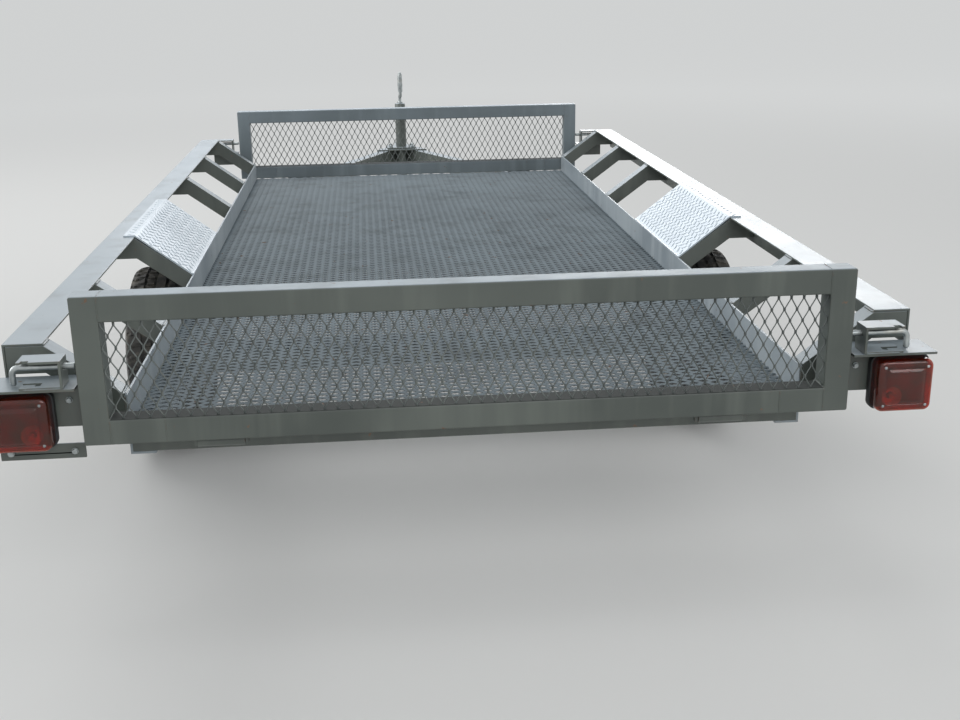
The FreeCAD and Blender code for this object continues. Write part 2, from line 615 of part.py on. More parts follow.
# Coupler: a pressing over the rails' tips, with its ball socket open downwards
wall, nose = size("coupler_wall"), size("nose_radius")
back, ball = size("jack_middle") - size("coupler_back"), size("ball_middle")
low, high = tongue_top - size("coupler_depth"), tongue_top + wall
socket_radius = size("ball_radius") + size("ball_play")
spread, edge = (apex - back) * slope, across + wall / math.cos(angle)
shell = prism(both_sides([(spread + edge, back), (nose, apex + (edge - nose) / slope), (nose, ball)]),
              low, high)
shell = shell.fuse(Part.makeCylinder(nose, high - low, Vector(0, ball, low)))
hollow = prism(both_sides([(spread + across, back), (across / 2, apex + across / 2 / slope)]),
               low, tongue_top)
socket = Part.makeCylinder(socket_radius, size("coupler_depth"), Vector(0, ball, low))
passage = Part.makeCylinder(size("jack_tube_radius"), wall, Vector(0, size("jack_middle"), tongue_top))
keep("coupler", solid("coupler", shell.cut(hollow).cut(socket).cut(passage).removeSplitter()))

# Coupler lever, a bent plate on the pressing over the ball
keep("coupler_lever", extruded(
    "coupler_lever", "YZ_Plane",
    (("ball_middle + ball_radius / 2", "frame_bottom + coupler_wall"),
     ("ball_middle + ball_radius / 2", "frame_bottom + coupler_wall + lever_rise / 3"),
     ("ball_middle - lever_length / 3", "frame_bottom + coupler_wall + lever_rise / 2"),
     ("ball_middle + ball_radius / 2 - lever_length", "frame_bottom + coupler_wall + lever_rise"),
     ("ball_middle + ball_radius / 2 - lever_length",
      "frame_bottom + coupler_wall + lever_rise - lever_thick"),
     ("ball_middle - lever_length / 3", "frame_bottom + coupler_wall + lever_rise / 2 - lever_thick"),
     ("ball_middle - ball_radius", "frame_bottom + coupler_wall")),
    "lever_width", x="-lever_width / 2"))

# Jack: tube with its flange on the coupler, leg with its foot, crank
middle = size("jack_middle")
tube_length = size("jack_tube_length")
tube_bottom = size("jack_top") - tube_length
tube = Part.makeCylinder(size("jack_tube_radius"), tube_length, Vector(0, middle, tube_bottom))
bore = Part.makeCylinder(size("jack_leg_radius") + size("jack_play"), tube_length - size("jack_cap"),
                         Vector(0, middle, tube_bottom))
flange = Part.makeBox(size("jack_flange_length"), size("jack_flange_width"), size("jack_flange_thick"),
                      Vector(-size("jack_flange_length") / 2, middle - size("jack_flange_width") / 2, high))
keep("jack_tube", solid("jack_tube", tube.fuse(flange).cut(bore).removeSplitter()))
foot_top = size("foot_thick")
leg = Part.makeCylinder(size("jack_leg_radius"), tube_bottom + size("jack_hold") - foot_top,
                        Vector(0, middle, foot_top))
foot = Part.makeBox(size("foot_width"), size("foot_width"), foot_top,
                    Vector(-size("foot_width") / 2, middle - size("foot_width") / 2, 0))
keep("jack_leg", solid("jack_leg", leg.fuse(foot).removeSplitter()))

arm_level = size("jack_top") + size("crank_rise")
throw_place = middle - size("crank_throw")
keep("jack_crank", solid("jack_crank", bent_rod(
    [Vector(0, middle, size("jack_top")), Vector(0, middle, arm_level), Vector(0, throw_place, arm_level),
     Vector(0, throw_place, arm_level + size("crank_grip"))], size("crank_bend"), size("crank_radius"))))

# Axle: a tube with a spindle at each end
axle_y, axle_z = size("axle_middle"), size("tyre_radius")
track = size("tyre_middle")
along_x = Vector(1, 0, 0)
tube_end = track - size("hub_inboard") - size("hub_axle_gap")
spindle_end = track + size("disc_offset")
axle = Part.makeCylinder(size("axle_radius"), 2 * tube_end, Vector(-tube_end, axle_y, axle_z), along_x)
spindles = Part.makeCylinder(size("spindle_radius"), 2 * spindle_end,
                             Vector(-spindle_end, axle_y, axle_z), along_x)
keep("axle", solid("axle", axle.fuse(spindles).removeSplitter()))


# Leaf springs over the axle, on seats, between hangers at the front and shackles at the rear
def leaf(reach, low, rise):
    """One bowed leaf, from its half length, its lowest point and its rise."""
    thick = size("leaf_thick")
    lower, upper = (Part.Arc(Vector(0, axle_y - reach, z + rise), Vector(0, axle_y, z),
                             Vector(0, axle_y + reach, z + rise)).toShape() for z in (low, low + thick))
    ends = [Part.LineSegment(lower.Vertexes[i].Point, upper.Vertexes[i].Point).toShape() for i in (0, 1)]
    outline = Part.Wire(Part.__sortEdges__([lower, upper] + ends))
    return Part.Face(outline).extrude(Vector(size("spring_width"), 0, 0))


def slab(half_x, y, half_y, low, high):
    """A box centred in X and Y."""
    return Part.makeBox(2 * half_x, 2 * half_y, high - low, Vector(-half_x, y - half_y, low))


def bolt_heads(face_x, y, level):
    """The two heads of a bolt along X, on faces at +face_x and -face_x."""
    heads = []
    for way in (-1, 1):
        head = hexagon(size("eye_bolt"), size("eye_bolt_head"))
        head.Placement = Placement(Vector(way * face_x, y, level),
                                   Rotation(Vector(0, 0, 1), Vector(way, 0, 0)))
        heads.append(head)
    return heads


half_span, leaf_count = size("spring_length") / 2, int(size("leaf_count"))
half_spring, plate = size("spring_width") / 2, size("steel")
eye_z, eye_radius = size("eye_level"), size("eye_radius")
front_eye, rear_eye = axle_y + half_span, axle_y - half_span
hanger_half, shackle_half = size("hanger_width") / 2, size("shackle_width") / 2
hanger_low = eye_z - size("hanger_lap")
pin_z = tongue_top - size("shackle_drop")
shackle_face = half_spring + size("shackle_thick")
seats, shackles = [], []
for side, sign in (("left", -1), ("right", 1)):
    leaves = []
    for number in range(leaf_count):
        share = 1 - size("leaf_step") * (leaf_count - 1 - number)
        leaves.append(leaf(half_span * share, size("spring_bottom") + number * size("leaf_thick"),
                           size("spring_rise") * share ** 2))
    spring = leaves[0].multiFuse(leaves[1:])
    spring.translate(Vector(-half_spring, 0, 0))
    eyes = [Part.makeCylinder(eye_radius, size("spring_width"), Vector(-half_spring, y, eye_z), along_x)
            for y in (front_eye, rear_eye)]
    spring = spring.multiFuse(eyes).removeSplitter()

    front_hanger = slab(half_spring + plate, front_eye, hanger_half, hanger_low, tongue_top).cut(
        slab(half_spring, front_eye, hanger_half, hanger_low, tongue_top - plate))
    front_hanger = front_hanger.multiFuse(bolt_heads(half_spring + plate, front_eye, eye_z))
    rear_low = pin_z - size("hanger_lap")
    rear_hanger = slab(half_spring, rear_eye, hanger_half, rear_low, tongue_top).cut(
        slab(half_spring - plate, rear_eye, hanger_half, rear_low, tongue_top - plate))

    links = []
    for way in (-1, 1):
        link = Part.makeBox(size("shackle_thick"), 2 * shackle_half, pin_z - eye_z + 2 * shackle_half,
                            Vector(half_spring if way > 0 else -shackle_face,
                                   rear_eye - shackle_half, eye_z - shackle_half))
        heads = [bolt_heads(shackle_face, rear_eye, level)[way > 0] for level in (eye_z, pin_z)]
        links.append(link.multiFuse(heads))

    seat_block = slab(half_spring, axle_y, size("seat_length") / 2,
                      axle_z + size("axle_radius") - size("seat_lap"), size("spring_bottom"))
    seats.append(seat_block.cut(Part.makeCylinder(size("axle_radius"), size("spring_width"),
                                                  Vector(-half_spring, axle_y, axle_z), along_x)))
    for piece in [spring, front_hanger, rear_hanger, seats[-1]] + links:
        piece.translate(Vector(sign * size("spring_middle"), 0, 0))
    keep(f"leaf_spring_{side}", solid(f"leaf_spring_{side}", spring))
    keep(f"spring_hangers_{side}",
         solid(f"spring_hangers_{side}", Part.makeCompound([front_hanger, rear_hanger])))
    shackles += links
keep("spring_shackles", solid("spring_shackles", Part.makeCompound(shackles)))
keep("spring_seats", solid("spring_seats", Part.makeCompound(seats)))


# Wheels; each shape is made about the X axis, x running outboard from the tyre's middle plane
def ring(points):
    """A ring of revolution from pairs of x and radius."""
    face = Part.Face(Part.makePolygon([Vector(x, 0, r) for x, r in points + points[:1]]))
    return face.revolve(Vector(0, 0, 0), along_x, 360)


def on_wheel(name, side, sign, shape):
    """Keep a wheel's piece at its side of the axle."""
    shape = shape.copy()
    shape.Placement = Placement(Vector(sign * track, axle_y, axle_z),
                                Rotation(Vector(0, 0, 1), 90 - sign * 90))
    keep(f"{name}_{side}", solid(f"{name}_{side}", shape))


half_tyre, tall, half_tread = size("tyre_width") / 2, size("tyre_radius"), size("tread_width") / 2
seat, half_rim, skin = size("rim_radius"), size("rim_width") / 2, size("rim_steel")
disc, pilot = size("disc_offset"), size("hub_bore_radius")
widest = seat + size("bulge_height")
sections = int(size("tyre_sections"))
bead = seat / math.cos(math.pi / sections)


def flat_ring(points, count):
    """A ring of flat faces, its corners at these pairs of x and radius; one corner line is at the bottom."""
    turns = [Rotation(along_x, 360 / count * number) for number in range(count)]
    hoops = [[turn.multVec(Vector(x, 0, -radius)) for turn in turns] for x, radius in points]
    faces = []
    for hoop, beside in zip(hoops, hoops[1:] + hoops[:1]):
        for number in range(count):
            after = (number + 1) % count
            corners = [hoop[number], hoop[after], beside[after], beside[number]]
            faces.append(Part.Face(Part.makePolygon(corners + corners[:1])))
    return Part.Solid(Part.Shell(faces))


tyre = flat_ring([(-half_rim, bead), (-half_tyre, widest), (-half_tread, tall),
                  (half_tread, tall), (half_tyre, widest), (half_rim, bead)], sections)
wheel_rim = flat_ring([(-half_rim, bead), (half_rim, bead), (half_rim, bead - skin), (disc, bead - skin),
                       (disc, pilot), (disc - skin, pilot), (disc - skin, bead - skin),
                       (-half_rim, bead - skin)], sections)

flange_face, bore_radius = disc - skin, size("spindle_radius") + size("spindle_play")
bore_end = disc + size("spindle_end_gap")
stud_count = int(size("nut_count"))
turns = [Rotation(along_x, 360 / stud_count * number) for number in range(stud_count + 1)]
flange = Part.Face(Part.makePolygon([turn.multVec(Vector(flange_face, 0, size("hub_flange_radius")))
                                     for turn in turns])).extrude(Vector(-size("hub_flange_thick"), 0, 0))
hub = ring([(-size("hub_inboard"), bore_radius), (-size("hub_inboard"), size("hub_barrel_radius")),
            (size("hub_outboard"), size("hub_barrel_radius")), (size("hub_outboard"), 0),
            (bore_end, 0), (bore_end, bore_radius)])
bore = Part.makeCylinder(bore_radius, size("hub_inboard") + bore_end,
                         Vector(-size("hub_inboard"), 0, 0), along_x)
hub = hub.fuse(flange.cut(bore)).removeSplitter()

nuts = []
for turn in turns[:-1]:
    nut = hexagon(size("nut_flats"), size("nut_height"))
    nut.Placement = Placement(turn.multVec(Vector(disc, 0, size("nut_circle") / 2)),
                              Rotation(Vector(0, 0, 1), along_x))
    nuts.append(nut)
for side, sign in (("left", -1), ("right", 1)):
    on_wheel("tyre", side, sign, tyre)
    on_wheel("wheel_rim", side, sign, wheel_rim)
    on_wheel("hub", side, sign, hub)
    on_wheel("wheel_nuts", side, sign, Part.makeCompound(nuts))

doc.recompute()

os.makedirs("parts", exist_ok=True)
faults = [f"{thing.Name}: {thing.State}" for thing in doc.Objects if {"Invalid", "Error"} & set(thing.State)]
for name, piece in parts.items():
    if piece.Shape.isNull() or not piece.Shape.isValid() or not piece.Shape.Solids:
        faults.append(f"{name}: bad shape")
if faults:
    raise SystemExit("\n".join(faults))
for name, piece in parts.items():
    piece.Shape.exportStep(f"parts/{name}.step")
print(len(parts), "pieces written")
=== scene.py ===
# Utility trailer with flared side frames and low mesh gates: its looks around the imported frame.
# Metres; +Y points towards the tongue, +X to the right, +Z up, ground at 0.
import json
import math

import bpy
import numpy as np
from mathutils import Matrix, Vector


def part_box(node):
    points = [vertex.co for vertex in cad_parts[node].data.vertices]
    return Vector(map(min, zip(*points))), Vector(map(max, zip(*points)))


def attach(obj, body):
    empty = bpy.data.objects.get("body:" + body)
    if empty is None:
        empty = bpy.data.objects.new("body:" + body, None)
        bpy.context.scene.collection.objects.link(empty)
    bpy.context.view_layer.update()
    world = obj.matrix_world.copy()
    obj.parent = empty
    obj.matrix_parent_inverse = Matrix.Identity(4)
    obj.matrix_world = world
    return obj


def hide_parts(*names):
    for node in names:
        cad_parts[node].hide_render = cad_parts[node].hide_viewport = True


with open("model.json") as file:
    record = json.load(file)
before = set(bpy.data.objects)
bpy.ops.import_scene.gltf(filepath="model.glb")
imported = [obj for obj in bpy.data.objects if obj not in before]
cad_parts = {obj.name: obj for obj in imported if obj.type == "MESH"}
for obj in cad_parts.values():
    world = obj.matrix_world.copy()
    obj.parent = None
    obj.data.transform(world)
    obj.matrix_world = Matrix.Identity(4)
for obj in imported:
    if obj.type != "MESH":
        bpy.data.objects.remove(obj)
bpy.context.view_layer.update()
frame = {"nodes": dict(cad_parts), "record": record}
nodes = frame["nodes"]
mm = 0.001


# small tools for materials
def linearColour(hexCode):
    channels = [int(hexCode[i:i + 2], 16) / 255 for i in (1, 3, 5)]
    return tuple(c / 12.92 if c <= 0.04045 else ((c + 0.055) / 1.055) ** 2.4 for c in channels) + (1.0,)


def addNode(tree, kind, settings=None, links=None):
    # a setting is a property of the node or the value of an input;
    # a link is a socket, or a node's first output
    node = tree.nodes.new(kind)
    for key, value in (settings or {}).items():
        if isinstance(key, str) and hasattr(node, key):
            setattr(node, key, value)
        else:
            node.inputs[key].default_value = value
    for key, source in (links or {}).items():
        tree.links.new(source.outputs[0] if hasattr(source, "outputs") else source, node.inputs[key])
    return node


def startMaterial(name, **shaderValues):
    material = bpy.data.materials.new(name)
    material.use_nodes = True
    tree = material.node_tree
    shader = tree.nodes["Principled BSDF"]
    for key, value in shaderValues.items():
        shader.inputs[key.replace("_", " ")].default_value = value
    place = addNode(tree, "ShaderNodeTexCoord").outputs["Object"]
    return material, tree, shader, place


def noiseScale(size):
    # the scale at which a noise's blotches are about this many millimetres wide
    return 500 / size


# how wide the marks on the enamel are, in millimetres; orange peel, 1 to 3 wide, is drawn coarse to show
enamelMarks = {"cloud": 180, "run": 25, "dustPatch": 45, "edge": 3, "knock": 9, "sheenPatch": 60,
               "peel": 3, "peelDepth": 0.2}


# Sprayed enamel on steel: semi-gloss over a fine orange peel, road dust with a painted sheen on what faces
# up, washed streaks down its sides, and bare rusty chips along the edges; given a level, what faces up below
# it is painted shade
def sprayedEnamel(name, look):
    material, tree, shader, place = startMaterial(
        name, IOR=1.5, Coat_Weight=look["coat"], Coat_Roughness=0.12)
    marks = enamelMarks
    geometry = addNode(tree, "ShaderNodeNewGeometry")

    # two tones in broad clouds
    cloud = addNode(tree, "ShaderNodeTexNoise", {"Scale": noiseScale(marks["cloud"]), "Detail": 4.0},
                    {"Vector": place})
    share = addNode(tree, "ShaderNodeMapRange", {"From Min": 0.35, "From Max": 0.65}, {"Value": cloud})
    tone = addNode(tree, "ShaderNodeMix", {"data_type": "RGBA", 6: linearColour(look["dark"]),
                                           7: linearColour(look["light"])}, {0: share}).outputs[2]

    # streaks are noise drawn out eight times downwards
    tall = addNode(tree, "ShaderNodeMapping", {"Scale": (1.0, 1.0, 0.12)}, {"Vector": place})
    runs = addNode(tree, "ShaderNodeTexNoise", {"Scale": noiseScale(marks["run"]), "Detail": 3.0},
                   {"Vector": tall})
    share = addNode(tree, "ShaderNodeMapRange", {"From Min": 0.5, "From Max": 0.78, "To Max": 0.7},
                    {"Value": runs})
    tone = addNode(tree, "ShaderNodeMix", {"data_type": "RGBA", 7: linearColour(look["streak"])},
                   {0: share, 6: tone}).outputs[2]

    # dust lies where the surface faces up, in patches; its pale tone, laid over most of a top, is also a
    # painted sheen
    upward = addNode(tree, "ShaderNodeSeparateXYZ", {}, {"Vector": geometry.outputs["Normal"]}).outputs["Z"]
    upward = addNode(tree, "ShaderNodeMapRange",
                     {"From Min": 0.5, "From Max": 0.92, "To Max": look["dustAndSheenShare"]}, {"Value": upward})
    patches = addNode(tree, "ShaderNodeTexNoise", {"Scale": noiseScale(marks["dustPatch"]), "Detail": 5.0},
                      {"Vector": place})
    patches = addNode(tree, "ShaderNodeMapRange", {"From Min": 0.25, "From Max": 0.5, "To Min": 0.55},
                      {"Value": patches})
    share = addNode(tree, "ShaderNodeMath", {"operation": "MULTIPLY"}, {0: upward, 1: patches})
    if "dustAndShadeFrom" in look:
        height = addNode(tree, "ShaderNodeSeparateXYZ", {}, {"Vector": place}).outputs["Z"]
        height = addNode(tree, "ShaderNodeMapRange",
                         {"From Min": look["dustAndShadeFrom"], "From Max": look["dustAndShadeFrom"] + 0.05},
                         {"Value": height})
        share = addNode(tree, "ShaderNodeMath", {"operation": "MULTIPLY"}, {0: share, 1: height})
        # what faces up lower down is painted shade, near black
        paintedShadeShare = addNode(tree, "ShaderNodeMapRange", {"To Min": 1.0, "To Max": 0.0}, {"Value": height})
        paintedShadeShare = addNode(tree, "ShaderNodeMath", {"operation": "MULTIPLY"}, {0: upward, 1: paintedShadeShare})
        tone = addNode(tree, "ShaderNodeMix", {"data_type": "RGBA", 7: linearColour(look["paintedShade"])},
                       {0: paintedShadeShare, 6: tone}).outputs[2]
    tone = addNode(tree, "ShaderNodeMix", {"data_type": "RGBA", 7: linearColour(look["dust"])},
                   {0: share, 6: tone}).outputs[2]

    # an edge is where the normal, rounded over a few millimetres, leaves the true one
    rounded = addNode(tree, "ShaderNodeBevel", {"samples": 4, "Radius": marks["edge"] * mm})
    bend = addNode(tree, "ShaderNodeVectorMath", {"operation": "DOT_PRODUCT"},
                   {0: rounded, 1: geometry.outputs["Normal"]}).outputs["Value"]
    edge = addNode(tree, "ShaderNodeMapRange", {"From Min": 0.97, "From Max": 0.8}, {"Value": bend})
    knocks = addNode(tree, "ShaderNodeTexNoise", {"Scale": noiseScale(marks["knock"]), "Detail": 5.0},
                     {"Vector": place})
    worn = addNode(tree, "ShaderNodeMapRange", {"From Min": 0.52, "From Max": 0.6, "To Max": look["wear"]},
                   {"Value": knocks})
    worn = addNode(tree, "ShaderNodeMath", {"operation": "MULTIPLY"}, {0: edge, 1: worn})
    chips = addNode(tree, "ShaderNodeMapRange",
                    {"From Min": look["chipFrom"], "From Max": look["chipFrom"] + 0.03}, {"Value": knocks})
    share = addNode(tree, "ShaderNodeMath", {"operation": "MAXIMUM"}, {0: worn, 1: chips})
    tone = addNode(tree, "ShaderNodeMix", {"data_type": "RGBA", 7: linearColour(look["chip"])},
                   {0: share, 6: tone}).outputs[2]
    tree.links.new(tone, shader.inputs["Base Color"])

    # the gloss comes and goes, and the painted shade has none
    sheen = addNode(tree, "ShaderNodeTexNoise", {"Scale": noiseScale(marks["sheenPatch"]), "Detail": 4.0},
                    {"Vector": place})
    rough = addNode(tree, "ShaderNodeMapRange", {"To Min": look["gloss"], "To Max": look["gloss"] + 0.25},
                    {"Value": sheen})
    if "dustAndShadeFrom" in look:
        rough = addNode(tree, "ShaderNodeMath", {"operation": "MAXIMUM"}, {0: rough, 1: paintedShadeShare})
    tree.links.new(rough.outputs[0], shader.inputs["Roughness"])
    peel = addNode(tree, "ShaderNodeTexNoise", {"Scale": noiseScale(marks["peel"]), "Detail": 1.0},
                   {"Vector": place})
    skin = addNode(tree, "ShaderNodeBump", {"Strength": 0.25, "Distance": marks["peelDepth"] * mm},
                   {"Height": peel})
    tree.links.new(skin.outputs[0], shader.inputs["Normal"])
    return material


# each look's pale dust tone on what faces up is dust and also a painted sheen of the light on the tops
frameLook = {
    "dark": "#4a504c", "light": "#5b615c", "streak": "#676d67", "dust": "#8f9aa1", "dustAndSheenShare": 0.85,
    "chip": "#6a5444", "chipFrom": 0.71, "wear": 0.7, "gloss": 0.3, "coat": 0.2}
# the rails beside the load: painted paler, a painted sheen of the light on their inner faces
paintedLightRailLook = {**frameLook, "dark": "#7b858c", "light": "#99a2a7", "streak": "#a6aeb2"}
# the gates' lower rails: dust is on what is more than 600 mm above the ground, and what faces up below that
# is painted shade
dustAndShadeLevel = 600 * mm - nodes["rear_gate_frame"].matrix_world.translation.z
gateLook = {**frameLook, "dustAndShadeFrom": dustAndShadeLevel, "paintedShade": "#1d201f", "coat": 0.0, "gloss": 0.34}
# the gate at the towing end: the gates' enamel painted paler, as painted light over it
paintedLightGateLook = {**gateLook, "dark": "#636d71", "light": "#758086", "streak": "#818c90"}
meshLook = {
    "dark": "#525857", "light": "#666c6a", "streak": "#727874", "dust": "#9ba5aa", "dustAndSheenShare": 0.5,
    "chip": "#6a5444", "chipFrom": 0.70, "wear": 0.1, "gloss": 0.32, "coat": 0.3}
# walked-on enamel of the floor: darker, its dust, which is also a painted sheen, kept in the corners
floorLook = {
    "dark": "#3f474a", "light": "#525c60", "streak": "#5e686b", "dust": "#95a2aa", "dustAndSheenShare": 0.6,
    "chip": "#5d4c40", "chipFrom": 0.70, "wear": 0.1, "gloss": 0.34, "coat": 0.3}
plateLook = {
    "dark": "#a4b0b9", "light": "#b8c4cc", "streak": "#c0cbd2", "dust": "#a3afb7", "dustAndSheenShare": 0.8,
    "chip": "#77706a", "chipFrom": 0.73, "wear": 0.5, "gloss": 0.25, "coat": 0.5}
wheelLook = {
    "dark": "#cfcfc9", "light": "#dcdcd6", "streak": "#b5b0a4", "dust": "#b9b4a8", "dustAndSheenShare": 0.4,
    "chip": "#7a5c46", "chipFrom": 0.74, "wear": 0.6, "gloss": 0.25, "coat": 0.6}
blackEnamel = sprayedEnamel("blackEnamel", frameLook)
rubbedEnamel = sprayedEnamel("rubbedEnamel", paintedLightRailLook)
gateEnamel = sprayedEnamel("gateEnamel", gateLook)
bleachedEnamel = sprayedEnamel("bleachedEnamel", paintedLightGateLook)
meshEnamel = sprayedEnamel("meshEnamel", meshLook)
floorEnamel = sprayedEnamel("floorEnamel", floorLook)
plateEnamel = sprayedEnamel("plateEnamel", plateLook)
whiteEnamel = sprayedEnamel("whiteEnamel", wheelLook)

# spangle, bloom and the fine matt of the zinc: widths in millimetres
zincLook = {"dark": "#8f9596", "light": "#b9bebd", "bloom": "#a39c8e", "spangleWidth": 12, "bloomWidth": 30,
            "fineWidth": 1.5, "fineDepth": 0.1}


# Zinc plating on steel: bright metal gone dull, with cloudy spangle and a little white bloom
def zincPlate(look):
    material, tree, shader, place = startMaterial("zincPlate", Metallic=1.0)
    spangle = addNode(tree, "ShaderNodeTexNoise", {"Scale": noiseScale(look["spangleWidth"]), "Detail": 4.0},
                      {"Vector": place})
    share = addNode(tree, "ShaderNodeMapRange", {"From Min": 0.35, "From Max": 0.7}, {"Value": spangle})
    tone = addNode(tree, "ShaderNodeMix", {"data_type": "RGBA", 6: linearColour(look["dark"]),
                                           7: linearColour(look["light"])}, {0: share}).outputs[2]
    bloom = addNode(tree, "ShaderNodeTexNoise", {"Scale": noiseScale(look["bloomWidth"]), "Detail": 5.0},
                    {"Vector": place})
    share = addNode(tree, "ShaderNodeMapRange", {"From Min": 0.55, "From Max": 0.75}, {"Value": bloom})
    tone = addNode(tree, "ShaderNodeMix", {"data_type": "RGBA", 7: linearColour(look["bloom"])},
                   {0: share, 6: tone}).outputs[2]
    tree.links.new(tone, shader.inputs["Base Color"])
    rough = addNode(tree, "ShaderNodeMapRange", {"To Min": 0.28, "To Max": 0.55}, {"Value": spangle})
    tree.links.new(rough.outputs[0], shader.inputs["Roughness"])
    fine = addNode(tree, "ShaderNodeTexNoise", {"Scale": noiseScale(look["fineWidth"]), "Detail": 2.0},
                   {"Vector": place})
    skin = addNode(tree, "ShaderNodeBump", {"Strength": 0.3, "Distance": look["fineDepth"] * mm},
                   {"Height": fine})
    tree.links.new(skin.outputs[0], shader.inputs["Normal"])
    return material


# Two tones of one moulded or cast stuff, mottled, over a fine grain that dulls and roughens it;
# blotches and grain are in millimetres
def mottled(name, look, **shaderValues):
    material, tree, shader, place = startMaterial(name, **shaderValues)
    cloud = addNode(tree, "ShaderNodeTexNoise", {"Scale": noiseScale(look["blotch"]), "Detail": 5.0},
                    {"Vector": place})
    share = addNode(tree, "ShaderNodeMapRange", {"From Min": 0.38, "From Max": 0.7}, {"Value": cloud})
    tone = addNode(tree, "ShaderNodeMix", {"data_type": "RGBA", 6: linearColour(look["dark"]),
                                           7: linearColour(look["light"])}, {0: share}).outputs[2]
    if "dust" in look:
        dust = addNode(tree, "ShaderNodeTexNoise", {"Scale": noiseScale(look["dustPatch"]), "Detail": 6.0},
                       {"Vector": place})
        share = addNode(tree, "ShaderNodeMapRange", {"From Min": 0.5, "From Max": 0.72}, {"Value": dust})
        tone = addNode(tree, "ShaderNodeMix", {"data_type": "RGBA", 7: linearColour(look["dust"])},
                       {0: share, 6: tone}).outputs[2]
    tree.links.new(tone, shader.inputs["Base Color"])
    grain = addNode(tree, "ShaderNodeTexNoise", {"Scale": noiseScale(look["grain"]), "Detail": 3.0},
                    {"Vector": place})
    rough = addNode(tree, "ShaderNodeMapRange", {"To Min": look["gloss"], "To Max": look["gloss"] + 0.2},
                    {"Value": grain})
    tree.links.new(rough.outputs[0], shader.inputs["Roughness"])
    skin = addNode(tree, "ShaderNodeBump",
                   {"Strength": look["relief"], "Distance": look["grain"] / 5 * mm}, {"Height": grain})
    tree.links.new(skin.outputs[0], shader.inputs["Normal"])
    return material


# Tyre rubber: vulcanised with carbon black, matt, browned and dusty where it has run
tyreRubber = mottled("tyreRubber", {
    "dark": "#262625", "light": "#373632", "dust": "#5b574e", "dustPatch": 18, "blotch": 50, "grain": 1.2,
    "gloss": 0.62, "relief": 0.35},
    IOR=1.52)
# Black ABS: moulded with a fine leather grain, greyed by the sun
moulded = mottled("mouldedPlastic", {
    "dark": "#1d1e1f", "light": "#333537", "blotch": 25, "grain": 1.5, "gloss": 0.42, "relief": 0.4},
    IOR=1.46)
# Cast iron under brushed-on paint: sandy skin, satin
castIron = mottled("castIron", {
    "dark": "#26292a", "light": "#43433f", "blotch": 9, "grain": 2.0, "gloss": 0.48, "relief": 0.6},
    IOR=1.5)
# Vacuum-metallised bowl behind a lamp's lens: mirror-bright, lightly hazed
metallised = mottled("metallisedBowl", {
    "dark": "#c4c4c2", "light": "#e6e6e3", "blotch": 12, "grain": 1.0, "gloss": 0.08, "relief": 0.05},
    Metallic=1.0)

# haze and flutes of the lenses: widths in millimetres
acrylicLook = {"clear": "#c44428", "hazy": "#98644a", "hazeWidth": 15, "fluteWidth": 8, "fluteDepth": 0.5}


# Acrylic lens: moulded in clear red, smooth outside, so that light glints in its depth
def redAcrylic(look):
    material, tree, shader, place = startMaterial(
        "redAcrylic", IOR=1.49, Roughness=0.05, Transmission_Weight=0.93)
    haze = addNode(tree, "ShaderNodeTexNoise", {"Scale": noiseScale(look["hazeWidth"]), "Detail": 5.0},
                   {"Vector": place})
    share = addNode(tree, "ShaderNodeMapRange", {"From Min": 0.4, "From Max": 0.75}, {"Value": haze})
    tone = addNode(tree, "ShaderNodeMix", {"data_type": "RGBA", 6: linearColour(look["clear"]),
                                           7: linearColour(look["hazy"])}, {0: share}).outputs[2]
    tree.links.new(tone, shader.inputs["Base Color"])
    # a wave's bands lie 314 mm over its scale apart, so that a flute and the rib beside it are as wide
    flutes = addNode(tree, "ShaderNodeTexWave",
                     {"Scale": noiseScale(look["fluteWidth"]) / 3.1, "bands_direction": "X"},
                     {"Vector": place})
    skin = addNode(tree, "ShaderNodeBump", {"Strength": 0.15, "Distance": look["fluteDepth"] * mm},
                   {"Height": flutes.outputs[1]})
    tree.links.new(skin.outputs[0], shader.inputs["Normal"])
    return material


zinc = zincPlate(zincLook)
lens = redAcrylic(acrylicLook)
slotFinish = {
    "frame_paint": blackEnamel, "mesh_paint": meshEnamel, "plate_steel": plateEnamel, "plated_steel": zinc,
    "lamp_lens": lens, "black_plastic": moulded, "tyre": tyreRubber, "wheel_paint": whiteEnamel,
    "hub_iron": castIron}
print("materials made:", len(bpy.data.materials))


# small tools for meshes; a form is a list of vertices and a list of faces
def scaled(pairs):
    # pairs given in millimetres, in metres
    return [(a * mm, b * mm) for a, b in pairs]


def joined(forms):
    vertices, faces = [], []
    for points, corners in forms:
        start = len(vertices)
        vertices += [tuple(p) for p in points]
        faces += [tuple(start + i for i in face) for face in corners]
    return vertices, faces


def movedForm(form, matrix):
    return [matrix @ Vector(p) for p in form[0]], form[1]


def mirroredX(form):
    return [(-p[0], p[1], p[2]) for p in form[0]], [tuple(reversed(face)) for face in form[1]]


def bothSides(form):
    # a form and its mirror image across the trailer
    return joined([form, mirroredX(form)])


def placePiece(name, form, body, slotName, edge=0.0, sharpAngle=35, finish=None, replaces=()):
    mesh = bpy.data.meshes.new(name)
    mesh.from_pydata([tuple(p) for p in form[0]], [], form[1])
    mesh.materials.append(finish or slotFinish[slotName])
    mesh.shade_smooth()
    mesh.set_sharp_from_angle(angle=math.radians(sharpAngle))
    piece = bpy.data.objects.new(name, mesh)
    bpy.context.scene.collection.objects.link(piece)
    if edge:
        softenEdges(piece, edge)
    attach(piece, body)
    if replaces:
        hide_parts(*replaces)
    return piece


def softenEdges(piece, width, sharperThan=40):
    bevel = piece.modifiers.new("edge", "BEVEL")
    bevel.width, bevel.segments, bevel.limit_method = width, 2, "ANGLE"
    bevel.angle_limit, bevel.harden_normals = math.radians(sharperThan), True


